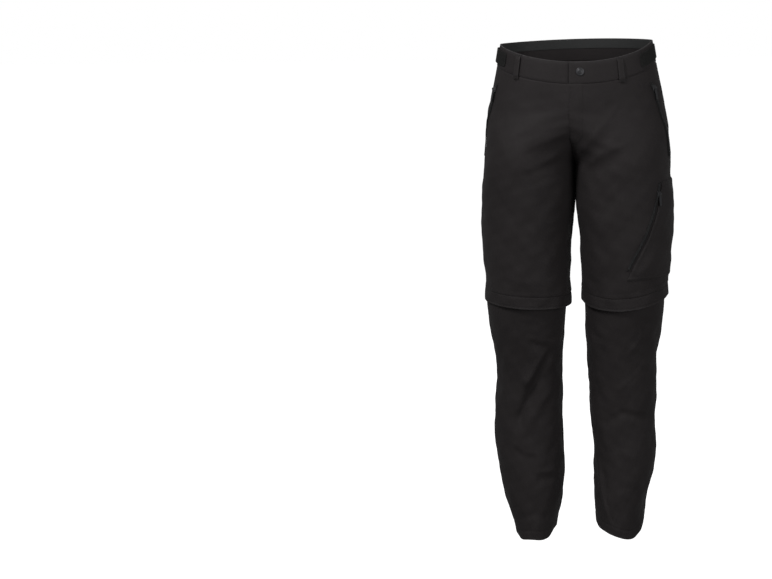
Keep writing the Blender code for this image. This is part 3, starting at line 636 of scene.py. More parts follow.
def makeCloth(name, look):
    finish, tree, shader = newFinish(name)
    # A period in metres is 2 pi / (10 scale) along the diagonal and 2 pi / (20 scale) across
    rib = weaveLines(tree, "DIAGONAL", math.pi / 5 / look["rib"], 0.6)
    yarn = weaveLines(tree, "Y", math.pi / 10 / look["yarn"], 0.8)
    weave = makeNode(tree, "Math", 0, {0: rib, 1: yarn}, operation="ADD")
    crumple = bump(tree, noise(tree, look["crumpleSize"], 3.0, 0.55), look["crumpleDepth"], 0.5)
    patch = noise(tree, *patchNoise)
    shade = makeNode(tree, "MapRange", "Result", {"Value": patch, "From Min": 0.35, "From Max": 0.65})
    base = mixColours(tree, shade, look["dark"], look["light"])
    fleck = noise(tree, *fleckNoise)
    # The wear attribute, broken up by fine flecks, mixes in the worn colour: rubbed wear at edges, and a
    # painted highlight along the waistband's top edge
    wear = makeNode(tree, "Attribute", "Fac", attribute_name="wear")
    worn = makeNode(tree, "Math", 0, {0: wear, 1: fleck}, operation="MULTIPLY")
    setInputs(tree, shader, {
        "Base Color": mixColours(tree, worn, base, look["worn"]),
        "Roughness": between(tree, fleck, *look["rough"]),
        "Normal": bump(tree, weave, look["weaveDepth"], 0.6, Normal=crumple),
        "Specular IOR Level": look["specular"],
        "Sheen Weight": look["sheen"],
        "Sheen Roughness": 0.5,
    })
    return finish


def makePlain(name, look):
    finish, tree, shader = newFinish(name)
    grain = noise(tree, look["grain"], 3.0)
    lighter = [c * 1.35 for c in look["colour"]]
    setInputs(tree, shader, {
        "Base Color": mixColours(tree, grain, look["colour"], lighter),
        "Roughness": between(tree, grain, look["rough"] - 0.06, look["rough"] + 0.08),
        "Normal": bump(tree, grain, look["depth"], 0.5),
        "Metallic": look["metal"],
        "Specular IOR Level": look["specular"],
    })
    return finish


finishes = {name: makeCloth(name, look) for name, look in clothLooks.items()}
finishes.update({name: makePlain(name, look) for name, look in plainLooks.items()})
print("finishes ready")


# Sheets of cloth: a wall between an outer and an inner grid of points

besideSeam = np.array([0, 0.7, 1.4, 2.2, 3.2, 4.5, 6.0, 7.5, 9.2, 11.2])


def spaced(start, end, cell):
    return np.linspace(start, end, max(2, round(abs(end - start) / cell) + 1))


def evenly(start, end, reach, cell):
    # Angles whose places stand a cell apart, at a distance of reach from the leg's middle
    return spaced(start * reach, end * reach, cell) / reach


def closeToEnds(length, cell, near=besideSeam):
    # Distances along a length, closer together beside the seams at its ends
    end = length - near[::-1]
    return np.concatenate([near, spaced(near[-1], end[0], cell)[1:-1], end])


def mirrored(outward, middle=()):
    # Places on both sides of a middle line, from one edge to the other
    outward = np.array(outward, float)
    return np.concatenate([-outward, middle, outward[::-1]])


def sideBySide(first, second, shared=0):
    # Two pairs of grids as one pair, without the columns that they share
    return [np.concatenate([a, b[:, shared:]], axis=1) for a, b in zip(first, second)]


def wallFaces(rows, columns, ring):
    count = rows * columns
    grid = np.arange(count).reshape(rows, columns)
    outer = np.stack([grid[:-1, :-1], grid[1:, :-1], grid[1:, 1:], grid[:-1, 1:]], -1).reshape(-1, 4)
    faces = [outer, outer[:, ::-1] + count]
    edges = [grid[0], grid[-1, ::-1]]
    if not ring:
        edges += [grid[::-1, 0], grid[:, -1]]
    for edge in edges:
        faces.append(np.stack([edge[:-1], edge[1:], edge[1:] + count, edge[:-1] + count], -1))
    return np.concatenate(faces)


def clothMap(outer):
    # Metres along the cloth, across from its middle column and down from its first row
    across = np.linalg.norm(np.diff(outer, axis=1), axis=-1)
    u = np.concatenate([np.zeros((len(outer), 1)), np.cumsum(across, axis=1)], axis=1)
    u -= u[:, u.shape[1] // 2 : u.shape[1] // 2 + 1]
    down = np.linalg.norm(np.diff(outer, axis=0), axis=-1)
    v = np.concatenate([np.zeros((1, outer.shape[1])), np.cumsum(down, axis=0)], axis=0)
    return u * mm, v * mm


def edgeHighlightAndWear(u, v, edges, reach=2.2):
    # How far the cloth takes the worn colour toward each named edge, from 0 to 1: rubbed wear at most
    # edges, and a painted highlight along the waistband's top edge
    away = {"top": v - v[:1], "bottom": v[-1:] - v, "start": u - u[:, :1], "end": u[:, -1:] - u}
    wear = np.zeros(u.shape)
    for edge, share in dict(edges).items():
        wear = np.maximum(wear, share * np.exp(-away[edge] / (reach * mm)))
    return wear


def addPiece(name, points, faces):
    mesh = bpy.data.meshes.new(name)
    mesh.from_pydata((points.reshape(-1, 3) * mm).tolist(), [], faces)
    piece = bpy.data.objects.new(name, mesh)
    bpy.context.scene.collection.objects.link(piece)
    return piece


def faceOutward(mesh, weld=0.0):
    shape = bmesh.new()
    shape.from_mesh(mesh)
    if weld:
        bmesh.ops.remove_doubles(shape, verts=shape.verts, dist=weld)
    bmesh.ops.recalc_face_normals(shape, faces=shape.faces)
    shape.to_mesh(mesh)
    shape.free()


def softenEdges(piece, width, angle):
    bevel = piece.modifiers.new("softEdges", "BEVEL")
    bevel.width = width * mm
    bevel.segments = 2
    bevel.limit_method = "ANGLE"
    bevel.angle_limit = math.radians(angle)


def dress(piece, finish):
    piece.data.materials.clear()
    piece.data.materials.append(finishes[finish])
    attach(piece, "trousers")


def nodeOf(name):
    # A piece's node is named like it, in words with lines between
    return "".join("_" + letter.lower() if letter.isupper() else letter for letter in name)


def addSheet(name, grids, cut, restsOn, finish="shellCloth", worn=(), rim=0.5, ring=False, inFrame=True):
    outer, inner = grids
    u, v = clothMap(outer)
    # The wear attribute holds how far each point takes the worn colour: rubbed wear, and on the waistband's
    # top edge a painted highlight
    wear = edgeHighlightAndWear(u, v, worn).reshape(-1)
    sheet = addPiece(name, np.stack([outer, inner]), wallFaces(*u.shape, ring).tolist())
    mesh = sheet.data
    highlightWearMap = mesh.attributes.new("wear", "FLOAT", "POINT")
    highlightWearMap.data.foreach_set("value", np.tile(wear, 2).astype(np.float32))
    corners = np.zeros(len(mesh.loops), np.int32)
    mesh.loops.foreach_get("vertex_index", corners)
    flat = np.stack([u, v], -1).reshape(-1, 2)[corners % u.size]
    mesh.uv_layers.new(name="cloth").uv.foreach_set("vector", flat.astype(np.float32).reshape(-1))
    faceOutward(mesh, 1e-6 if ring else 0.0)
    mesh.shade_smooth()
    bpy.context.view_layer.objects.active = sheet
    softenEdges(sheet, rim, 62)
    bpy.ops.object.modifier_apply(modifier="softEdges")
    dress(sheet, finish)
    if inFrame:
        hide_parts(nodeOf(name.removesuffix("Tape")))


def addLegPiece(name, tube, angle, z, shape, thick, cut, restsOn, **more):
    grids = [onCloth(tube, angle, z, out, shape) for out in (0, -thick)]
    addSheet(name, grids, cut, restsOn, **more)


# Thread and zip teeth: one small shape copied along a line

stitch = {
    "length": 2.7,
    "gap": 0.8,
    "thick": 0.46,
    "proud": 0.16,  # how far a thread's middle stands out of the cloth
    "tackGap": 0.5,
    "tackThick": 0.5,
    "barThread": 2.4,
    "loopThread": 2.6,
}


def capsule(length, thick, sides=5):
    # Along X with Z out of the cloth: its ends dip under the surface
    stations = [(-0.5, 0.45, -0.55), (-0.3, 0.9, 0.05), (0.3, 0.9, 0.05), (0.5, 0.45, -0.55)]
    around = [2 * math.pi * i / sides for i in range(sides)]
    points = [
        (x * length, math.cos(a) * r * thick / 2, math.sin(a) * r * thick / 2 + z * thick)
        for x, r, z in stations
        for a in around
    ]
    last = (len(stations) - 1) * sides
    faces = [tuple(reversed(range(sides))), tuple(range(last, last + sides))]
    for ring in range(0, last, sides):
        for i in range(sides):
            a, b = ring + i, ring + (i + 1) % sides
            faces.append((a, b, b + sides, a + sides))
    return np.array(points), faces


def tooth(length, width, height):
    # A zip coil's link, rounded along its top
    profile = [(-0.5, 0.0), (-0.36, 0.8), (0, 1.0), (0.36, 0.8), (0.5, 0.0)]
    points = [(x * length, y * width, z * height) for y in (-0.5, 0.5) for x, z in profile]
    size = len(profile)
    faces = [(i, i + 1, i + 1 + size, i + size) for i in range(size - 1)]
    faces += [tuple(reversed(range(size))), tuple(range(size, 2 * size)), (size - 1, 0, size, 2 * size - 1)]
    return np.array(points), faces


def unit(vectors):
    return vectors / np.linalg.norm(vectors, axis=-1, keepdims=True)


def readAlong(where, run, values):
    # Points or directions, read at places along the run that they stand at
    return np.stack([np.interp(where, run, values[:, i]) for i in range(3)], -1)


def along(points, pitch):
    # Places, directions and share of the way at equal steps along a line of points
    steps = np.linalg.norm(np.diff(points, axis=0), axis=1)
    run = np.concatenate([[0], np.cumsum(steps)])
    count = max(1, int(run[-1] // pitch))
    where = (np.arange(count) + 0.5) * run[-1] / count
    forward = readAlong(where + 0.3, run, points) - readAlong(where - 0.3, run, points)
    return readAlong(where, run, points), unit(forward), where / run[-1]


def scatter(name, shape, parts, finish):
    # Copies of a shape at several lots of places, directions and normals
    points, faces = shape
    places, forwards, normals = (np.concatenate(values) for values in zip(*parts))
    normals = unit(normals - forwards * (normals * forwards).sum(1, keepdims=True))
    axes = np.stack([forwards, np.cross(normals, forwards), normals], 1)
    spots = places[:, None] + points @ axes
    allFaces = [tuple(i + k * len(points) for i in face) for k in range(len(places)) for face in faces]
    piece = addPiece(name, spots, allFaces)
    faceOutward(piece.data)
    piece.data.shade_smooth()
    dress(piece, finish)


def stitchRows(name, rows):
    # Each row is a line of points on the cloth and the normals there
    parts = []
    for points, normals in rows:
        places, forwards, share = along(points, stitch["length"] + stitch["gap"])
        at = share * (len(points) - 1)
        parts.append((places, forwards, readAlong(at, np.arange(len(points)), normals)))
    scatter(name, capsule(stitch["length"], stitch["thick"]), parts, "thread")


def barTack(tube, angle, z, tilt, length):
    # Close threads side by side: their places, directions and normals
    step = np.linspace(-length / 2, length / 2, max(4, round(length / stitch["tackGap"])))
    angles = angle + step * math.cos(tilt) / arcAt(tube, angle, z)
    places, normals = rowOn(tube, angles, z + step * math.sin(tilt))
    return places, np.cross(normals, unit(places[-1] - places[0])), normals


def rowOn(tube, angle, z, seams=None, out=0.0):
    # A line of points that thread can lie on, and the normals there
    angle, z = np.broadcast_arrays(angle, z)
    return onCloth(tube, angle, z, out + stitch["proud"], seams), normalAt(tube, angle, z)


# Fronts and backs, from the waistband's seam to the flap's

panels = {
    "thick": 1.6,
    "width": 285,  # near enough, for the spacing of its columns
    "reach": 95,
    "cell": 3.0,
    "seamGap": 0.05,
    "tuck": 0.6,  # how far the top edge goes up into the waistband
    "seamDip": 0.85,
    "seamReach": 1.6,
    "flyDip": 0.3,  # the front's middle seam is flatter than the others, by this share
    "fellRise": 0.4,  # a felled seam's doubled cloth, on the back panel
    "fellFrom": (0.6, 1.8),  # where its slope starts, and the slope's width
    "fellTo": (8.5, 1.6),
    "flyWidth": 29,
    "flyEnd": -165,
    "flyCurve": 25,
    "flyRise": 0.55,
    "flySlope": 2.2,
    "kneeRow": 11,  # the topstitch above the flap's seam
    "rowDip": 0.35,
    "rowWidth": 1.4,
    "seamGather": (0.16, 0, 7, 1.45, 1.7, 23),
    "kneeGather": (0.192, 7, 8, 1.5, 1.4, 17),
    "steadyAboveCrotch": 30,
    "steadyLow": -380,
    "cuts": {
        "Front": {"flat": (0.30, 0.50), "area": 0.132, "held": "hung"},
        "Back": {"flat": (0.33, 0.53), "area": 0.152, "held": "hung"},
    },
}


def flyLine(z):
    # How far the fly's topstitch stands from the middle at a level
    drop = np.clip((panels["flyEnd"] - z) / panels["flyCurve"], 0, 1)
    return panels["flyWidth"] * np.sqrt(1 - drop**2)


def seamDip(away):
    return panels["seamDip"] * hump(away, panels["seamReach"])


def seamShape(z, away, felled, depth=1.0):
    (start, up), (end, down) = panels["fellFrom"], panels["fellTo"]
    ridge = smoothStep((away - start) / up) * smoothStep((end - away) / down)
    lift = gather(z, away, panels["seamGather"]) + panels["fellRise"] * ridge * felled
    return lift - depth * seamDip(away)


def legSeams(tube, angle, z, innerDepth=1.0):
    # The outer seam and the inner one
    back = (angle < 0) * 1.0
    cut, arc = innerSeam(tube, z)
    lift = seamShape(z, np.abs(angle) * arcAt(tube, 0 * z, z), back)
    return lift + seamShape(z, (cut - np.abs(angle)) * arc, back, innerDepth)


def thighSeams(tube, angle, z):
    side = tube["side"]
    onFront = (angle > 0) & (z > crotch["level"])
    lift = legSeams(tube, angle, z, np.where(onFront, panels["flyDip"], 1.0))
    overFlap = z - flapSeam(side, angle)
    lift -= seamDip(waistTop(side, angle) - waist["bandHeight"] - z) + seamDip(overFlap)
    lift -= panels["rowDip"] * hump(overFlap - panels["kneeRow"], panels["rowWidth"])
    lift += gather(angle * panels["reach"], overFlap, panels["kneeGather"])
    if side == left:
        x = barePoint(tube, angle, z)[..., 0]
        onFly = (angle > 0) & (z > panels["flyEnd"] - panels["flyCurve"])
        lift += panels["flyRise"] * smoothStep((flyLine(z) - x) / panels["flySlope"]) * onFly
    return lift


def addPanel(side, face):
    tube, turn, name = thighTube[side], turns[face], sideName[side]
    top = waist["sideTop"] - waist["bandHeight"]
    low = flapEdge[left][0] + knee["flapHeight"]
    rows = top - closeToEnds(top - low, panels["cell"])
    share = closeToEnds(panels["width"], panels["cell"]) / panels["width"]
    level = rows[:, None] + 0 * share
    steady = crotch["level"] + panels["steadyAboveCrotch"]
    topShare = smoothStep((level - steady) / (rows[0] - steady))
    lowShare = smoothStep((panels["steadyLow"] - level) / (panels["steadyLow"] - rows[-1]))
    half = panels["seamGap"] / 2
    z = level
    for _ in range(4):
        angle = share * cutAngle(z) * turn
        rise = waistTop(side, angle) - waist["bandHeight"] + panels["tuck"] - rows[0]
        drop = flapSeam(side, angle) + half - rows[-1]
        z = level + rise * topShare + drop * lowShare
    inset = half / sectionAt(tube, z)[2]
    angle = turn * (inset + share * (cutAngle(z) - 2 * inset))
    restsOn = ["waistbandBack" if face == "Back" else f"waistbandFront{name}"]
    cut = panels["cuts"][face]
    addLegPiece(face.lower() + name, tube, angle, z, thighSeams, panels["thick"], cut, restsOn)


# Lower legs, from the knee zip to the hem

lowerLegs = {
    "thick": 1.6,
    "width": 235,
    "length": 505,
    "reach": 75,
    "cell": 3.0,
    "sideGap": 0.05 / 2 / 80,  # half a seam's gap, as an angle
    "aboveHem": np.array([0, 1.2, 2.6, 4.5, 7, 10, 13, 16, 18, 19.2, 20, 20.8, 22, 24, 27]),
    "hemRow": 20,
    "hemRise": 0.35,
    "hemSlope": (19, 2.5),  # where the doubled cloth's slope starts, and its width
    "gather": (0.208, 14, 9, 1.6, 1.5, 19),
    "cuts": {
        "Front": {"flat": (0.27, 0.54), "area": 0.118, "held": "hung"},
        "Back": {"flat": (0.28, 0.54), "area": 0.122, "held": "hung"},
    },
}


def lowerSeams(tube, angle, z):
    overHem = z - edgeLevel(hemEdge[tube["side"]], angle)
    start, slope = lowerLegs["hemSlope"]
    lift = legSeams(tube, angle, z) + lowerLegs["hemRise"] * smoothStep((start - overHem) / slope)
    lift -= panels["rowDip"] * hump(overHem - lowerLegs["hemRow"], panels["rowWidth"])
    return lift + gather(angle * lowerLegs["reach"], overHem, lowerLegs["gather"])


def addLowerPanel(side, face):
    name, length = sideName[side], lowerLegs["length"]
    share = closeToEnds(lowerLegs["width"], lowerLegs["cell"]) / lowerLegs["width"]
    angle = turns[face] * (lowerLegs["sideGap"] + share * (math.pi - 2 * lowerLegs["sideGap"]))
    top = flapSeam(side, angle) - knee["zipDrop"]
    bottom = edgeLevel(hemEdge[side], angle)
    near = (length - lowerLegs["aboveHem"])[::-1]
    down = np.concatenate([spaced(0, near[0], lowerLegs["cell"])[:-1], near]) / length
    z = top + (bottom - top) * down[:, None]
    addLegPiece(
        f"lower{face}{name}", lowerTube[side], angle + 0 * z, z, lowerSeams, lowerLegs["thick"],
        lowerLegs["cuts"][face], [f"kneeZip{name}"], worn={"bottom": 0.4},
    )


# Knee flaps, and the zip tape that the lower legs hang from

flaps = {
    "thick": 1.6,
    "round": 590,
    "cell": 2.6,
    "rows": [0, 0.8, 1.6, 2.2, 2.9, 4, 6, 8.5, 11, 14, 17, 19.2, 20.3, 21, 21.7, 23, 24.6, 25.4, 26],
    "topRow": 2.2,
    "topDip": 0.21,
    "edgeRow": 5,
    "edgeDip": 0.245,
    "rowWidth": 1.1,
    "topGather": (0.176, 0, 6, 1.5, 1.4, 17),
    "edgeGather": (0.176, 0, 7, 1.5, 1.4, 17),
    "wave": 0.35,
    "waveRun": 20,
    "cut": {"flat": (0.60, 0.026), "held": "hung"},
    "tapeThick": 1.2,
    "restGap": 0.4,
    "tapeCut": {"flat": (0.58, 0.012), "held": "stretched"},
}


def flapShape(tube, angle, z):
    under = flapSeam(tube["side"], angle) - z
    overEdge = z - edgeLevel(flapEdge[tube["side"]], angle)
    run = angle * panels["reach"]
    wave = (1 + np.sin(3 * angle + 1.1) * np.cos(5 * angle)) * smoothStep(under / flaps["waveRun"])
    lift = gather(run, under, flaps["topGather"]) + gather(run, overEdge, flaps["edgeGather"])
    lift -= flaps["topDip"] * hump(under - flaps["topRow"], flaps["rowWidth"])
    lift -= flaps["edgeDip"] * hump(overEdge - flaps["edgeRow"], flaps["rowWidth"])
    return lift + flaps["wave"] * wave - seamDip(under)


def addKnee(side):
    tube, name = thighTube[side], sideName[side]
    angle = np.linspace(0, 2 * math.pi, round(flaps["round"] / flaps["cell"]) + 1)
    wrapped = np.where(angle > math.pi, angle - 2 * math.pi, angle)
    wrapped[-1] = 0.0
    top = flapSeam(side, angle) - panels["seamGap"] / 2
    bottom = edgeLevel(flapEdge[side], angle)
    z = top + (bottom - top) * (np.array(flaps["rows"]) / knee["flapHeight"])[:, None]
    restsOn = [f"front{name}", f"back{name}"]
    addLegPiece(
        f"kneeFlap{name}", tube, wrapped + 0 * z, z, flapShape, flaps["thick"],
        flaps["cut"], restsOn, worn={"bottom": 0.5}, ring=True,
    )
    down = np.linspace(0, 1, 9)[:, None]
    z = flapSeam(side, wrapped) - knee["zipStart"]
    z = z - (knee["zipDrop"] - knee["zipStart"] - panels["seamGap"]) * down
    grids = []
    for depth in (0, flaps["tapeThick"]):
        above = onCloth(tube, wrapped, z, -flaps["thick"] - flaps["restGap"] - depth)
        below = onCloth(lowerTube[side], wrapped, z, -knee["zipInLower"] - depth)
        grids.append(above + (below - above) * down[..., None])
    addSheet(f"kneeZip{name}", grids, flaps["tapeCut"], [f"kneeFlap{name}"], "zipTape", ring=True, rim=0.3)


# Waistband, its inner facing and the layer behind the fly

band = {
    "thick": 2.6,
    "proud": 0.6,
    "cell": 3.0,
    "reach": 135,
    "besideEdge": np.array([0, 0.9, 1.7, 2.4, 3.1, 4.2]),
    "rows": 2.4,  # the topstitch from each edge
    "rowDip": 0.22,
    "rowWidth": 1.0,
    "topGather": (0.14, 4, 5, 1.5, 1.3, 110 / 9),
    "seamGather": (0.182, 4, 5, 1.5, 1.3, 110 / 9),
    "seamDip": 0.7,
    "seamReach": 1.2,
    "flyX": 1.0,
    "flyLevel": -40,
    "stepX": 5.5,
    "stepRun": 8,
    "underlap": 38,
    "restGap": 0.4,
    "halfDepth": 110,
    "frontCut": {"flat": (0.215, 0.045), "held": "stretched"},
    "underCut": {"flat": (0.255, 0.045), "held": "stretched"},
    "backCut": {"flat": (0.44, 0.045), "held": "stretched"},
}
facings = {
    "top": 1.6,
    "height": 19,
    "thick": 0.5,
    "gap": 0.25,
    "fromSeam": 0.02,
    "lengths": {"Back": 0.43, "FrontLeft": 0.17, "FrontRight": 0.20},
}


def bandShape(tube, angle, z):
    fromTop = waistTop(tube["side"], angle) - z
    fromSeam = waist["bandHeight"] - fromTop
    lift = -band["seamDip"] * hump(fromSeam, band["seamReach"])
    for away, look in ((fromTop, band["topGather"]), (fromSeam, band["seamGather"])):
        lift += gather(angle * band["halfDepth"], away, look)
        lift -= band["rowDip"] * hump(away - band["rows"], band["rowWidth"])
    return lift


def flyAngle(side, x):
    return angleAt(thighTube[side], x, band["flyLevel"], "front")


def bandAngles(start, end):
    return evenly(start, end, band["reach"], band["cell"])


def bandGrid(side, angle, out=0.0):
    down = closeToEnds(waist["bandHeight"] - panels["seamGap"] / 2, band["cell"], band["besideEdge"])
    z = waistTop(side, angle) - down[:, None]
    outer = onCloth(thighTube[side], angle, z, band["proud"] + out, bandShape)
    inner = onCloth(thighTube[side], angle, z, band["proud"] - band["thick"] + out)
    return outer, inner


def facingGrid(side, angle):
    z = waistTop(side, angle) - facings["top"] - spaced(0, facings["height"], 2)[:, None]
    out = band["proud"] - band["thick"] - facings["gap"]
    return [onCloth(thighTube[side], angle, z, out - depth) for depth in (0, facings["thick"])]


def acrossBack(gridOf, fromSeam):
    half = -bandAngles(fromSeam, quarter)
    return sideBySide(gridOf(left, half), gridOf(right, half[::-1]), 1)


def addBands():
    seam = panels["seamGap"] / 2 / band["halfDepth"]
    front = bandGrid(left, bandAngles(seam, quarter))
    # Its top edge takes the worn colour in full, as a painted highlight along the rounded top; its free end
    # at the fly takes a little
    worn = {"top": 1.0, "end": 0.3}
    addSheet("waistbandFrontLeft", front, band["frontCut"], ["frontLeft"], worn=worn, rim=1.0)

    # The right front steps in at the middle and goes on under the left front
    sink = -(band["thick"] + band["restGap"])
    stepX, flyX = band["stepX"], band["flyX"]
    step = flyAngle(right, np.array([stepX + band["stepRun"], stepX, (stepX + flyX) / 2, flyX]))
    before = np.concatenate([bandAngles(seam, step[0])[:-1], step])
    out = np.zeros(len(before))
    out[-2:] = (sink / 2, sink)
    under = flyAngle(left, spaced(flyX, band["underlap"], 3))
    grids = sideBySide(bandGrid(right, before, out), bandGrid(left, under, sink))
    # Its top edge takes the same painted highlight
    addSheet("waistbandFrontRight", grids, band["underCut"], ["frontRight"], worn={"top": 1.0}, rim=0.9)

    back = acrossBack(bandGrid, seam)
    # The back's top edge takes a weaker painted highlight
    addSheet("waistbandBack", back, band["backCut"], ["backLeft", "backRight"], worn={"top": 0.4}, rim=1.0)


def addFacings():
    start = facings["fromSeam"]
    leftEnd = flyAngle(left, band["underlap"] + 4)
    rightEnd = flyAngle(right, band["stepX"] + band["stepRun"] + 3)
    grids = {
        "Back": acrossBack(facingGrid, start),
        "FrontLeft": facingGrid(left, bandAngles(start, leftEnd)),
        "FrontRight": facingGrid(right, bandAngles(start, rightEnd)),
    }
    for name, grid in grids.items():
        cut = {"flat": (facings["lengths"][name], 0.019), "held": "stretched"}
        addSheet(f"facing{name}", grid, cut, [f"waistband{name}"], "facingCloth", rim=0.2, inFrame=False)


shield = {
    "columns": {right: (20, 1.5), left: (1.5, 30)},
    "rows": 36,
    "cell": 3,
    "top": -60,
    "bottom": -165,
    "thick": 1.2,
    "behind": 2.2,
    "cut": {"flat": (0.05, 0.10), "held": "hung"},
}


def shieldGrids(side):
    tube = thighTube[side]
    places = spaced(*shield["columns"][side], shield["cell"])
    atTop = angleAt(tube, places, shield["top"], "front")
    top = waistTop(side, atTop) - waist["bandHeight"] - panels["seamGap"]
    z = top + (shield["bottom"] - top) * np.linspace(0, 1, shield["rows"])[:, None]
    angle = angleAt(tube, places + 0 * z, z, "front")
    out = -panels["thick"] - shield["behind"]
    return [onCloth(tube, angle, z, out - depth) for depth in (0, shield["thick"])]


def addShield():
    grids = sideBySide(shieldGrids(right), shieldGrids(left))
    addSheet("flyShield", grids, shield["cut"], ["waistbandFrontRight"])


# Belt loops and the tabs that take in the waist

loops = {
    "places": {
        "FrontLeft": (left, "front", 100),
        "FrontRight": (right, "front", 109),
        "BackLeft": (left, "back", 98),
        "BackRight": (right, "back", 98),
    },
    "level": -20,
    "width": 12,
    "length": 51,
    "drop": 1.5,
    "thick": 1.5,
    "rise": 2.4,
    "taper": 0.2,
    "edgeRow": 2.2,
    "edgeDip": (0.35, 0.9),  # the depth and width of the folded edge's rounding
    "rowDip": (0.16, 0.8),  # and of the groove that a stitch row presses
    "across": mirrored([6, 5.4, 4.6, 3.8, 3.2, 2, 0.7]),
    "down": [spaced(0, 0.24, 0.02), spaced(0.27, 0.73, 0.046), spaced(0.76, 1, 0.02)],
    "rowDown": np.linspace(0.09, 0.91, 40),
    "tackDown": (0.045, 0.955),
    "tackAcross": np.linspace(-4.6, 4.6, 19),
    "tackStep": 0.02,
    "cut": {"flat": (0.012, 0.055), "held": "stretched"},
}


def bulge(share, taper):
    # A strap held at both ends: 0 at its ends and 1 between
    return smoothStep(share / taper) * smoothStep((1 - share) / taper)


def loopPoints(name, across, down, depth=0.0):
    # Points on a loop's face, and the normals there, at distances across and shares down
    across, down = np.broadcast_arrays(np.asarray(across, float), np.asarray(down, float))
    edge = loops["width"] / 2 - np.abs(across)
    (edgeDip, edgeWidth), (rowDip, rowWidth) = loops["edgeDip"], loops["rowDip"]
    profile = -edgeDip * hump(edge, edgeWidth) - rowDip * hump(edge - loops["edgeRow"], rowWidth)
    rise = loops["rise"] * bulge(down, loops["taper"])
    out = band["proud"] + band["restGap"] + loops["thick"] + rise + profile - depth
    fromTop = loops["drop"] + loops["length"] * down
    if name != "BackCentre":
        side, face, x = loops["places"][name]
        tube = thighTube[side]
        middle = angleAt(tube, x, loops["level"], face)
        angle = middle + across / arcAt(tube, middle, loops["level"])
        z = waistTop(side, middle) - fromTop
        return onCloth(tube, angle, z, out), normalAt(tube, angle, z)
    z = waistTop(left, -quarter) - fromTop
    points, normals = [], []
    for side in (left, right):
        tube = thighTube[side]
        angle = angleAt(tube, np.maximum(side * across, 0.2), z, "back")
        points.append(onCloth(tube, angle, z, out))
        normals.append(normalAt(tube, angle, z))
    onLeft = (across > 0)[..., None]
    return np.where(onLeft, *points), np.where(onLeft, *normals)


def addLoops():
    down = np.concatenate(loops["down"])[:, None]
    row = loops["width"] / 2 - loops["edgeRow"]
    rows, tacks = [], []
    for name in [*loops["places"], "BackCentre"]:
        grids = [loopPoints(name, loops["across"], down, depth)[0] for depth in (0, loops["thick"])]
        restsOn = ["waistbandBack" if "Back" in name else f"waistband{name}"]
        addSheet(f"beltLoop{name}", grids, loops["cut"], restsOn, worn={"start": 0.3, "end": 0.3})
        for across in (-row, row):
            rows.append(loopPoints(name, across, loops["rowDown"]))
        for level in loops["tackDown"]:
            places, normals = loopPoints(name, loops["tackAcross"], level)
            below = loopPoints(name, loops["tackAcross"], level + loops["tackStep"])[0]
            tacks.append((places, unit(below - places), normals))
    stitchRows("beltLoopStitches", rows)
    scatter("beltLoopTacks", capsule(stitch["loopThread"], stitch["tackThick"]), tacks, "thread")


tabs = {
    "front": math.radians(33),
    "back": math.radians(-30),
    "height": 28,
    "thick": 1.8,
    "corner": 5,
    "rise": {left: 0.4, right: 2.2},
    "taper": 0.3,
    "cell": 2.2,
    "edgeRow": 2.6,
    "edgeDip": (0.3, 0.7),
    "rowDip": (0.25, 0.8),
    "secondRow": 6,
    "rowBend": 1.4,
    "rows": -mirrored([1, 0.97, 0.92, 0.86, 0.81, 0.76, 0.6, 0.4, 0.2], [0]),
    "cut": {"flat": (0.133, 0.028), "held": "stretched"},
}


def tabSize(side):
    # The arc at the side of the waist, and the tab's length
    arc = arcAt(thighTube[side], 0.0, 0.0)
    return arc, (tabs["front"] - tabs["back"]) * arc


def tabPoints(side, alongTab, across, out=0.0):
    # Distances back from the tab's front end and up from its middle line
    tube = thighTube[side]
    arc, length = tabSize(side)
    angle = tabs["front"] - alongTab / arc
    z = waistTop(side, angle) - waist["bandHeight"] / 2 + across
    rise = tabs["rise"][side] * bulge(alongTab / length, tabs["taper"])
    lift = band["proud"] + band["restGap"] + tabs["thick"] + rise + out
    return onCloth(tube, angle, z, lift), normalAt(tube, angle, z)


def addTab(side):
    length = tabSize(side)[1]
    corner, name = tabs["corner"], sideName[side]
    start = corner * (1 - np.cos(np.linspace(0, quarter, 8)))
    distance = np.concatenate([start, spaced(corner, length, tabs["cell"])[1:]])
    short = np.clip(corner - distance, 0, corner)
    half = tabs["height"] / 2 - (corner - np.sqrt(corner**2 - short**2))
    across = half * tabs["rows"][:, None]
    row = tabs["height"] / 2 - tabs["edgeRow"]
    (edgeDip, edgeWidth), (rowDip, rowWidth) = tabs["edgeDip"], tabs["rowDip"]
    dip = -rowDip * hump(np.abs(across) - row, rowWidth) - edgeDip * hump(half - np.abs(across), edgeWidth)
    grids = [tabPoints(side, distance + 0 * across, across, out)[0] for out in (dip, -tabs["thick"])]
    restsOn = [f"waistbandFront{name}", "waistbandBack"]
    worn = {"top": 0.4, "bottom": 0.4, "start": 0.4}
    addSheet(f"waistTab{name}", grids, tabs["cut"], restsOn, "hookTape", worn=worn)
    run = np.linspace(corner, length - 3, 80)
    down = np.linspace(row, -row, 24)
    bent = tabs["edgeRow"] + tabs["rowBend"] * (np.abs(down) / row) ** 8
    straight = tabs["edgeRow"] + tabs["secondRow"] + 0 * down
    lines = [(run, row), (run, -row), (bent, down), (straight, down)]
    return [tabPoints(side, back, up + 0 * back) for back, up in lines]


# Pockets: slanted hand zips, and the cargo pocket on the left thigh with its zip

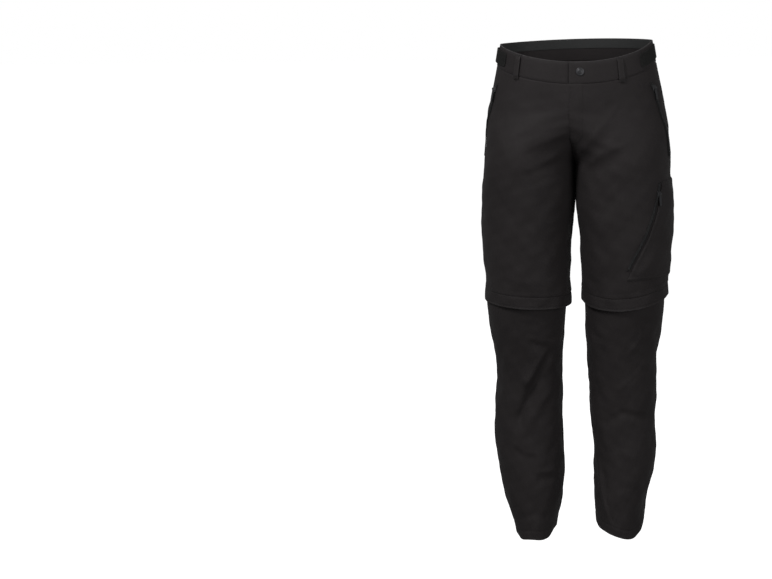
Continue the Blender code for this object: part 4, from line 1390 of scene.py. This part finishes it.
zips = {
    "thick": 1.2,
    "restGap": 0.4,
    "cell": 2.5,
    "pitch": 1.25,
    "coilWidth": 1.9,
    "coilBulge": 0.45,
    "coilRise": 0.36,
    "link": (0.95, 1.178, 0.5),
    "lipDip": 0.35,
    "lipRun": 0.9,
    "lipRow": 1.6,
    "across": mirrored([1, 0.88, 0.72, 0.5, 0.34, 0.2, 0.08]),
    "hand": {
        "top": -70, "bottom": -222, "width": 9,
        "angleTop": math.radians(23), "angleBottom": math.radians(7.5),
        "cut": {"flat": (0.010, 0.155), "area": 0.0014, "held": "stretched"},
    },
    "cargo": {
        "top": -274, "bottom": -450, "width": 7, "fromEdge": 8,
        "cut": {"flat": (0.010, 0.18), "area": 0.0013, "held": "stretched"},
    },
}
cargo = {
    "top": -270,
    "bottom": -474,
    "back": math.radians(-50),
    "frontTop": math.radians(31),
    "frontBottom": math.radians(82),
    "frontPower": 1.3,
    "width": 215,
    "thick": 2.3,
    "gap": 0.7,
    "cell": 3.0,
    "rows": (2.2, 8.0),
    "rowDip": 0.28,
    "rowWidth": 1.0,
    "edgeDip": 1.1,
    "edgeWidth": 1.8,
    "uprightGather": (0.16, 0, 8, 1.6, 1.3, 19),
    "levelGather": (0.16, 0, 8, 1.6, 0, 1),
    "reach": 100,
    "puff": 1.5,
    "puffFrom": 8,
    "puffRun": 26,
    "cut": {"flat": (0.225, 0.206), "area": 0.036, "held": "stretched"},
}


def handZipMiddle(tube, z):
    look = zips["hand"]
    share = (z - look["top"]) / (look["bottom"] - look["top"])
    return look["angleTop"] + (look["angleBottom"] - look["angleTop"]) * share


def cargoEdge(z):
    share = np.clip((cargo["top"] - z) / (cargo["top"] - cargo["bottom"]), 0, 1)
    return cargo["frontTop"] + (cargo["frontBottom"] - cargo["frontTop"]) * share ** cargo["frontPower"]


def cargoZipMiddle(tube, z):
    edge = cargoEdge(z)
    return edge + zips["cargo"]["fromEdge"] / arcAt(tube, edge, z)


def addZip(name, side, middle, look, restsOn):
    tube = thighTube[side]
    levels = spaced(look["top"], look["bottom"], zips["cell"])
    angle = middle(tube, levels)
    arc = arcAt(tube, angle, levels)
    half = look["width"] / 2
    across = zips["across"] * half
    # The coil bulges along the tape's middle, and the tape's edges go under the lips
    under = smoothStep((np.abs(across) - half) / zips["lipRun"] + 1)
    face = zips["coilBulge"] * hump(across, zips["coilWidth"]) - zips["lipDip"] * under
    grids = [
        onCloth(tube, angle[:, None] + across / arc[:, None], levels[:, None], out)
        for out in (zips["restGap"] + zips["thick"] + face, zips["restGap"])
    ]
    addSheet(name + "Tape", grids, look["cut"], restsOn, "zipTape", rim=0.25)
    teeth = []
    for way in (-1, 1):
        aside = way * zips["coilWidth"] / 4 / arc
        line = onCloth(tube, angle + aside, levels, zips["restGap"] + zips["thick"] + zips["coilRise"])
        places, forwards, share = along(line[::-way], zips["pitch"])
        at = (share if way < 0 else 1 - share) * (len(levels) - 1)
        where = [np.interp(at, np.arange(len(levels)), values) for values in (angle, levels)]
        teeth.append((places, forwards, normalAt(tube, *where)))
    scatter(name + "Teeth", tooth(*zips["link"]), teeth, "zipTeeth")
    z = spaced(look["top"] - 1, look["bottom"] + 1, 3)
    angle = middle(tube, z)
    lip = (half + zips["lipRow"]) / arcAt(tube, angle, z)
    return [rowOn(tube, angle + offset, z, thighSeams) for offset in (-lip, lip)]


def cargoFace(tube, angle, z):
    # How far out the pocket's face is
    arc = arcAt(tube, angle, z)
    across = np.minimum((cargoEdge(z) - angle) * arc, (angle - cargo["back"]) * arc)
    down = np.minimum(cargo["top"] - z, z - cargo["bottom"])
    nearest = np.minimum(across, down)
    face = cargo["gap"] + cargo["thick"] - cargo["edgeDip"] * hump(nearest, cargo["edgeWidth"])
    face += cargo["puff"] * smoothStep((nearest - cargo["puffFrom"]) / cargo["puffRun"])
    face += gather(z, across, cargo["uprightGather"])
    face += gather(angle * cargo["reach"], down, cargo["levelGather"])
    return face - cargo["rowDip"] * sum(hump(nearest - row, cargo["rowWidth"]) for row in cargo["rows"])


def addCargoPocket():
    tube = thighTube[left]
    levels = cargo["top"] - closeToEnds(cargo["top"] - cargo["bottom"], cargo["cell"])
    share = closeToEnds(cargo["width"], cargo["cell"]) / cargo["width"]
    z = levels[:, None] + 0 * share
    angle = cargo["back"] + (cargoEdge(z) - cargo["back"]) * share
    grids = [onCloth(tube, angle, z, out) for out in (cargoFace(tube, angle, z), cargo["gap"])]
    worn = {"top": 0.15, "bottom": 0.1, "start": 0.1, "end": 0.1}
    addSheet("cargoPocket", grids, cargo["cut"], ["frontLeft", "backLeft"], worn=worn, rim=0.6)


# The press stud, sliders and pull tabs

stud = {
    "x": 22,
    "drop": 21,
    "radius": 8.5,
    "height": 0.9,
    "sides": 48,
    # each step in from the rim: how far in, and how far up
    "steps": [
        (0.35, 0.35), (0.7, 0.35), (1.1, 0.1), (0.5, -0.35), (0.5, 0.0), (0.5, 0.4),
        (1.2, 0.25), (1.6, 0.15), (1.3, 0.02),
    ],
}


def placeOn(tube, angle, z, out):
    # X down the leg, Y out of the cloth and Z across, in metres
    origin = Vector(onCloth(tube, angle, z, out)) * mm
    outward = Vector(normalAt(tube, angle, z)).normalized()
    down = Vector(barePoint(tube, angle, z - 1) - barePoint(tube, angle, z + 1))
    down = (down - outward * down.dot(outward)).normalized()
    turned = Matrix((down, outward, down.cross(outward))).transposed().to_4x4()
    return Matrix.Translation(origin) @ turned


def addStud():
    tube, height = thighTube[left], stud["height"] * mm
    z = waistTop(left, quarter) - stud["drop"]
    angle = angleAt(tube, stud["x"], z, "front")
    bpy.ops.object.select_all(action="DESELECT")
    bpy.ops.mesh.primitive_cylinder_add(
        vertices=stud["sides"], radius=stud["radius"] * mm, depth=height, location=(0, 0, height / 2)
    )
    cap = bpy.context.object
    bpy.ops.object.mode_set(mode="EDIT")
    bpy.ops.mesh.select_mode(type="FACE")
    bpy.ops.mesh.select_all(action="DESELECT")
    bpy.ops.object.mode_set(mode="OBJECT")
    for face in cap.data.polygons:
        face.select = face.normal.z > 0.9
    bpy.ops.object.mode_set(mode="EDIT")
    for inward, rise in stud["steps"]:
        bpy.ops.mesh.inset(thickness=inward * mm, depth=rise * mm)
    bpy.ops.object.mode_set(mode="OBJECT")
    bpy.ops.object.shade_smooth_by_angle(angle=math.radians(40))
    cap.name = "waistStud"
    cap.data.name = "waistStud"
    # The cap's Z turns to the cloth's outward Y, and its place is kept in its mesh
    place = placeOn(tube, angle, z, band["proud"] + band["restGap"])
    cap.data.transform(place @ Matrix.Rotation(-quarter, 4, "X") @ cap.matrix_basis)
    cap.matrix_basis = Matrix.Identity(4)
    dress(cap, "snapLacquer")
    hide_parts("waist_snap")


def finishHardware():
    for place in ("hand_left", "hand_right", "cargo"):
        for piece in ("slider", "pull"):
            item = frame["nodes"][f"{place}_{piece}"]
            item.data.materials.clear()
            item.data.materials.append(finishes["gunmetal"])
            item.modifiers.new("weld", "WELD").merge_threshold = 1e-5
            softenEdges(item, 0.25, 40)


# Topstitching along the seams

rowsAt = {
    "fell": (1.9, 7.0),
    "step": 2.5,
    "reach": 110,
    "fly": (1.8, 7.4),
    "belowBand": 2.5,
    "crotchClear": 12,
}


def belowBand(side, angle):
    return waistTop(side, angle) - waist["bandHeight"] - rowsAt["belowBand"]


def seamRows(tube, seams, atSide, top, low):
    # The two rows of a felled seam, on the back panel
    z = spaced(top, low, rowsAt["step"])
    cut, arc = innerSeam(tube, z)
    if atSide:
        angles = [-away / arcAt(tube, 0 * z, z) for away in rowsAt["fell"]]
    else:
        angles = [away / arc - cut for away in rowsAt["fell"]]
    return [rowOn(tube, angle, z, seams) for angle in angles]


def ringRow(tube, seams, edge, rise):
    # A row all round a leg, above one of its edges
    angle = np.linspace(-math.pi, math.pi, 240)
    return rowOn(tube, angle, edgeLevel(edge[tube["side"]], angle) + rise, seams)


def addLegStitches():
    thigh, knees, lower = [], [], []
    clear = rowsAt["crotchClear"]
    for side in (left, right):
        tube = thighTube[side]
        thigh += seamRows(tube, thighSeams, True, belowBand(side, 0.0), flapSeam(side, 0.0) + 1)
        thigh += seamRows(tube, thighSeams, False, crotch["level"] - clear, flapSeam(side, math.pi) + 1)
        thigh.append(ringRow(tube, thighSeams, flapEdge, knee["flapHeight"] + panels["kneeRow"]))
        knees.append(ringRow(tube, flapShape, flapEdge, knee["flapHeight"] - flaps["topRow"]))
        knees.append(ringRow(tube, flapShape, flapEdge, flaps["edgeRow"]))
        tube = lowerTube[side]
        for atSide, angle in ((True, 0.0), (False, math.pi)):
            top, low = (edgeLevel(edge[side], angle) + 2 for edge in (flapEdge, hemEdge))
            lower += seamRows(tube, lowerSeams, atSide, top, low)
        lower.append(ringRow(tube, lowerSeams, hemEdge, lowerLegs["hemRow"]))
    low = crotch["level"] + clear
    thigh += seamRows(thighTube[left], thighSeams, False, belowBand(left, -quarter), low)
    stitchRows("thighStitches", thigh)
    stitchRows("kneeStitches", knees)
    stitchRows("lowerStitches", lower)


def addBandStitches():
    rows = []
    rightEnd = flyAngle(right, band["stepX"] + 2)
    spans = [
        (left, 0.02, quarter - 0.02), (right, 0.02, rightEnd),
        (left, -quarter, -0.02), (right, -quarter, -0.02),
    ]
    for side, start, end in spans:
        angle = evenly(start, end, rowsAt["reach"], rowsAt["step"])
        for level in (band["rows"], waist["bandHeight"] - band["rows"]):
            z = waistTop(side, angle) - level
            rows.append(rowOn(thighTube[side], angle, z, bandShape, band["proud"]))
    # The left front's free end
    top = waistTop(left, quarter)
    z = spaced(top - 2.5, top - waist["bandHeight"] + 2.5, rowsAt["step"])
    angle = angleAt(thighTube[left], 3.2, z, "front")
    rows.append(rowOn(thighTube[left], angle, z, bandShape, band["proud"]))
    stitchRows("bandStitches", rows)


def addFlyStitches():
    end, curve, step = panels["flyEnd"], panels["flyCurve"], rowsAt["step"]
    top = belowBand(left, quarter)
    turn = np.linspace(0, quarter, 24)[1:]
    lines = []
    for inward in rowsAt["fly"]:
        width = panels["flyWidth"] - inward
        straight = spaced(top + 1.0, end, step)
        x = np.concatenate([width + 0 * straight, width * np.cos(turn)])
        z = np.concatenate([straight, end - (curve - inward) * np.sin(turn)])
        lines.append((np.maximum(x, 1.6), z))
    lines.append((2.0, spaced(top, end - curve, step)))
    z = spaced(end - curve - 2, crotch["level"] + 6, step)
    lines += [(x, z) for x in rowsAt["fell"]]
    tube = thighTube[left]
    stitchRows("flyStitches", [rowOn(tube, angleAt(tube, x, z, "front"), z, thighSeams) for x, z in lines])


def addPocketStitches(rows):
    tube, back = thighTube[left], cargo["back"]
    for away in cargo["rows"]:
        high, low = cargo["top"] - away, cargo["bottom"] + away
        z = spaced(high, low, rowsAt["step"])
        edge = cargoEdge(z)
        lines = [(back + away / arcAt(tube, back + 0 * z, z), z), (edge - away / arcAt(tube, edge, z), z)]
        for level in (high, low):
            edge = cargoEdge(level)
            start = back + away / arcAt(tube, back, level)
            end = edge - away / arcAt(tube, edge, level)
            lines.append((evenly(start, end, rowsAt["reach"], rowsAt["step"]), level))
        rows += [rowOn(tube, angle, z, None, cargoFace(tube, angle, z + 0 * angle)) for angle, z in lines]
    stitchRows("pocketStitches", rows)


def addTacks():
    # Bar tacks: the fly's top and curve, both ends of each zip
    tube = thighTube[left]
    flyTop = waistTop(left, quarter) - waist["bandHeight"] - 5
    flyLow = panels["flyEnd"] - panels["flyCurve"] + 3
    spots = [
        (tube, angleAt(tube, 4.5, flyTop, "front"), flyTop, 0.0, 7),
        (tube, angleAt(tube, 4.2, flyLow, "front"), flyLow, 1.2, 7),
    ]
    for side in (left, right):
        for z in (zips["hand"]["top"] + 3, zips["hand"]["bottom"] - 3):
            spots.append((thighTube[side], handZipMiddle(tube, z), z, 0.0, 10))
    for z in (zips["cargo"]["top"] + 1.5, zips["cargo"]["bottom"] - 3):
        spots.append((tube, cargoZipMiddle(tube, z), z, 0.0, 8))
    threads = capsule(stitch["barThread"], stitch["tackThick"])
    scatter("barTacks", threads, [barTack(*spot) for spot in spots], "thread")


# Making the trousers

for side in (left, right):
    for face in turns:
        addPanel(side, face)
for side in (left, right):
    for face in turns:
        addLowerPanel(side, face)
print("fronts, backs and lower legs made")

for side in (left, right):
    addKnee(side)
addBands()
addFacings()
addShield()
print("knees, waistband and fly made")

addLoops()
stitchRows("tabStitches", addTab(left) + addTab(right))
addCargoPocket()
zipRows = []
for side in (left, right):
    name = sideName[side]
    zipRows += addZip(f"handZip{name}", side, handZipMiddle, zips["hand"], [f"front{name}"])
zipRows += addZip("cargoZip", left, cargoZipMiddle, zips["cargo"], ["frontLeft"])
addStud()
finishHardware()
print("loops, tabs, pockets and fastenings made")

addLegStitches()
addBandStitches()
addFlyStitches()
addPocketStitches(zipRows)
addTacks()
print("stitches made")
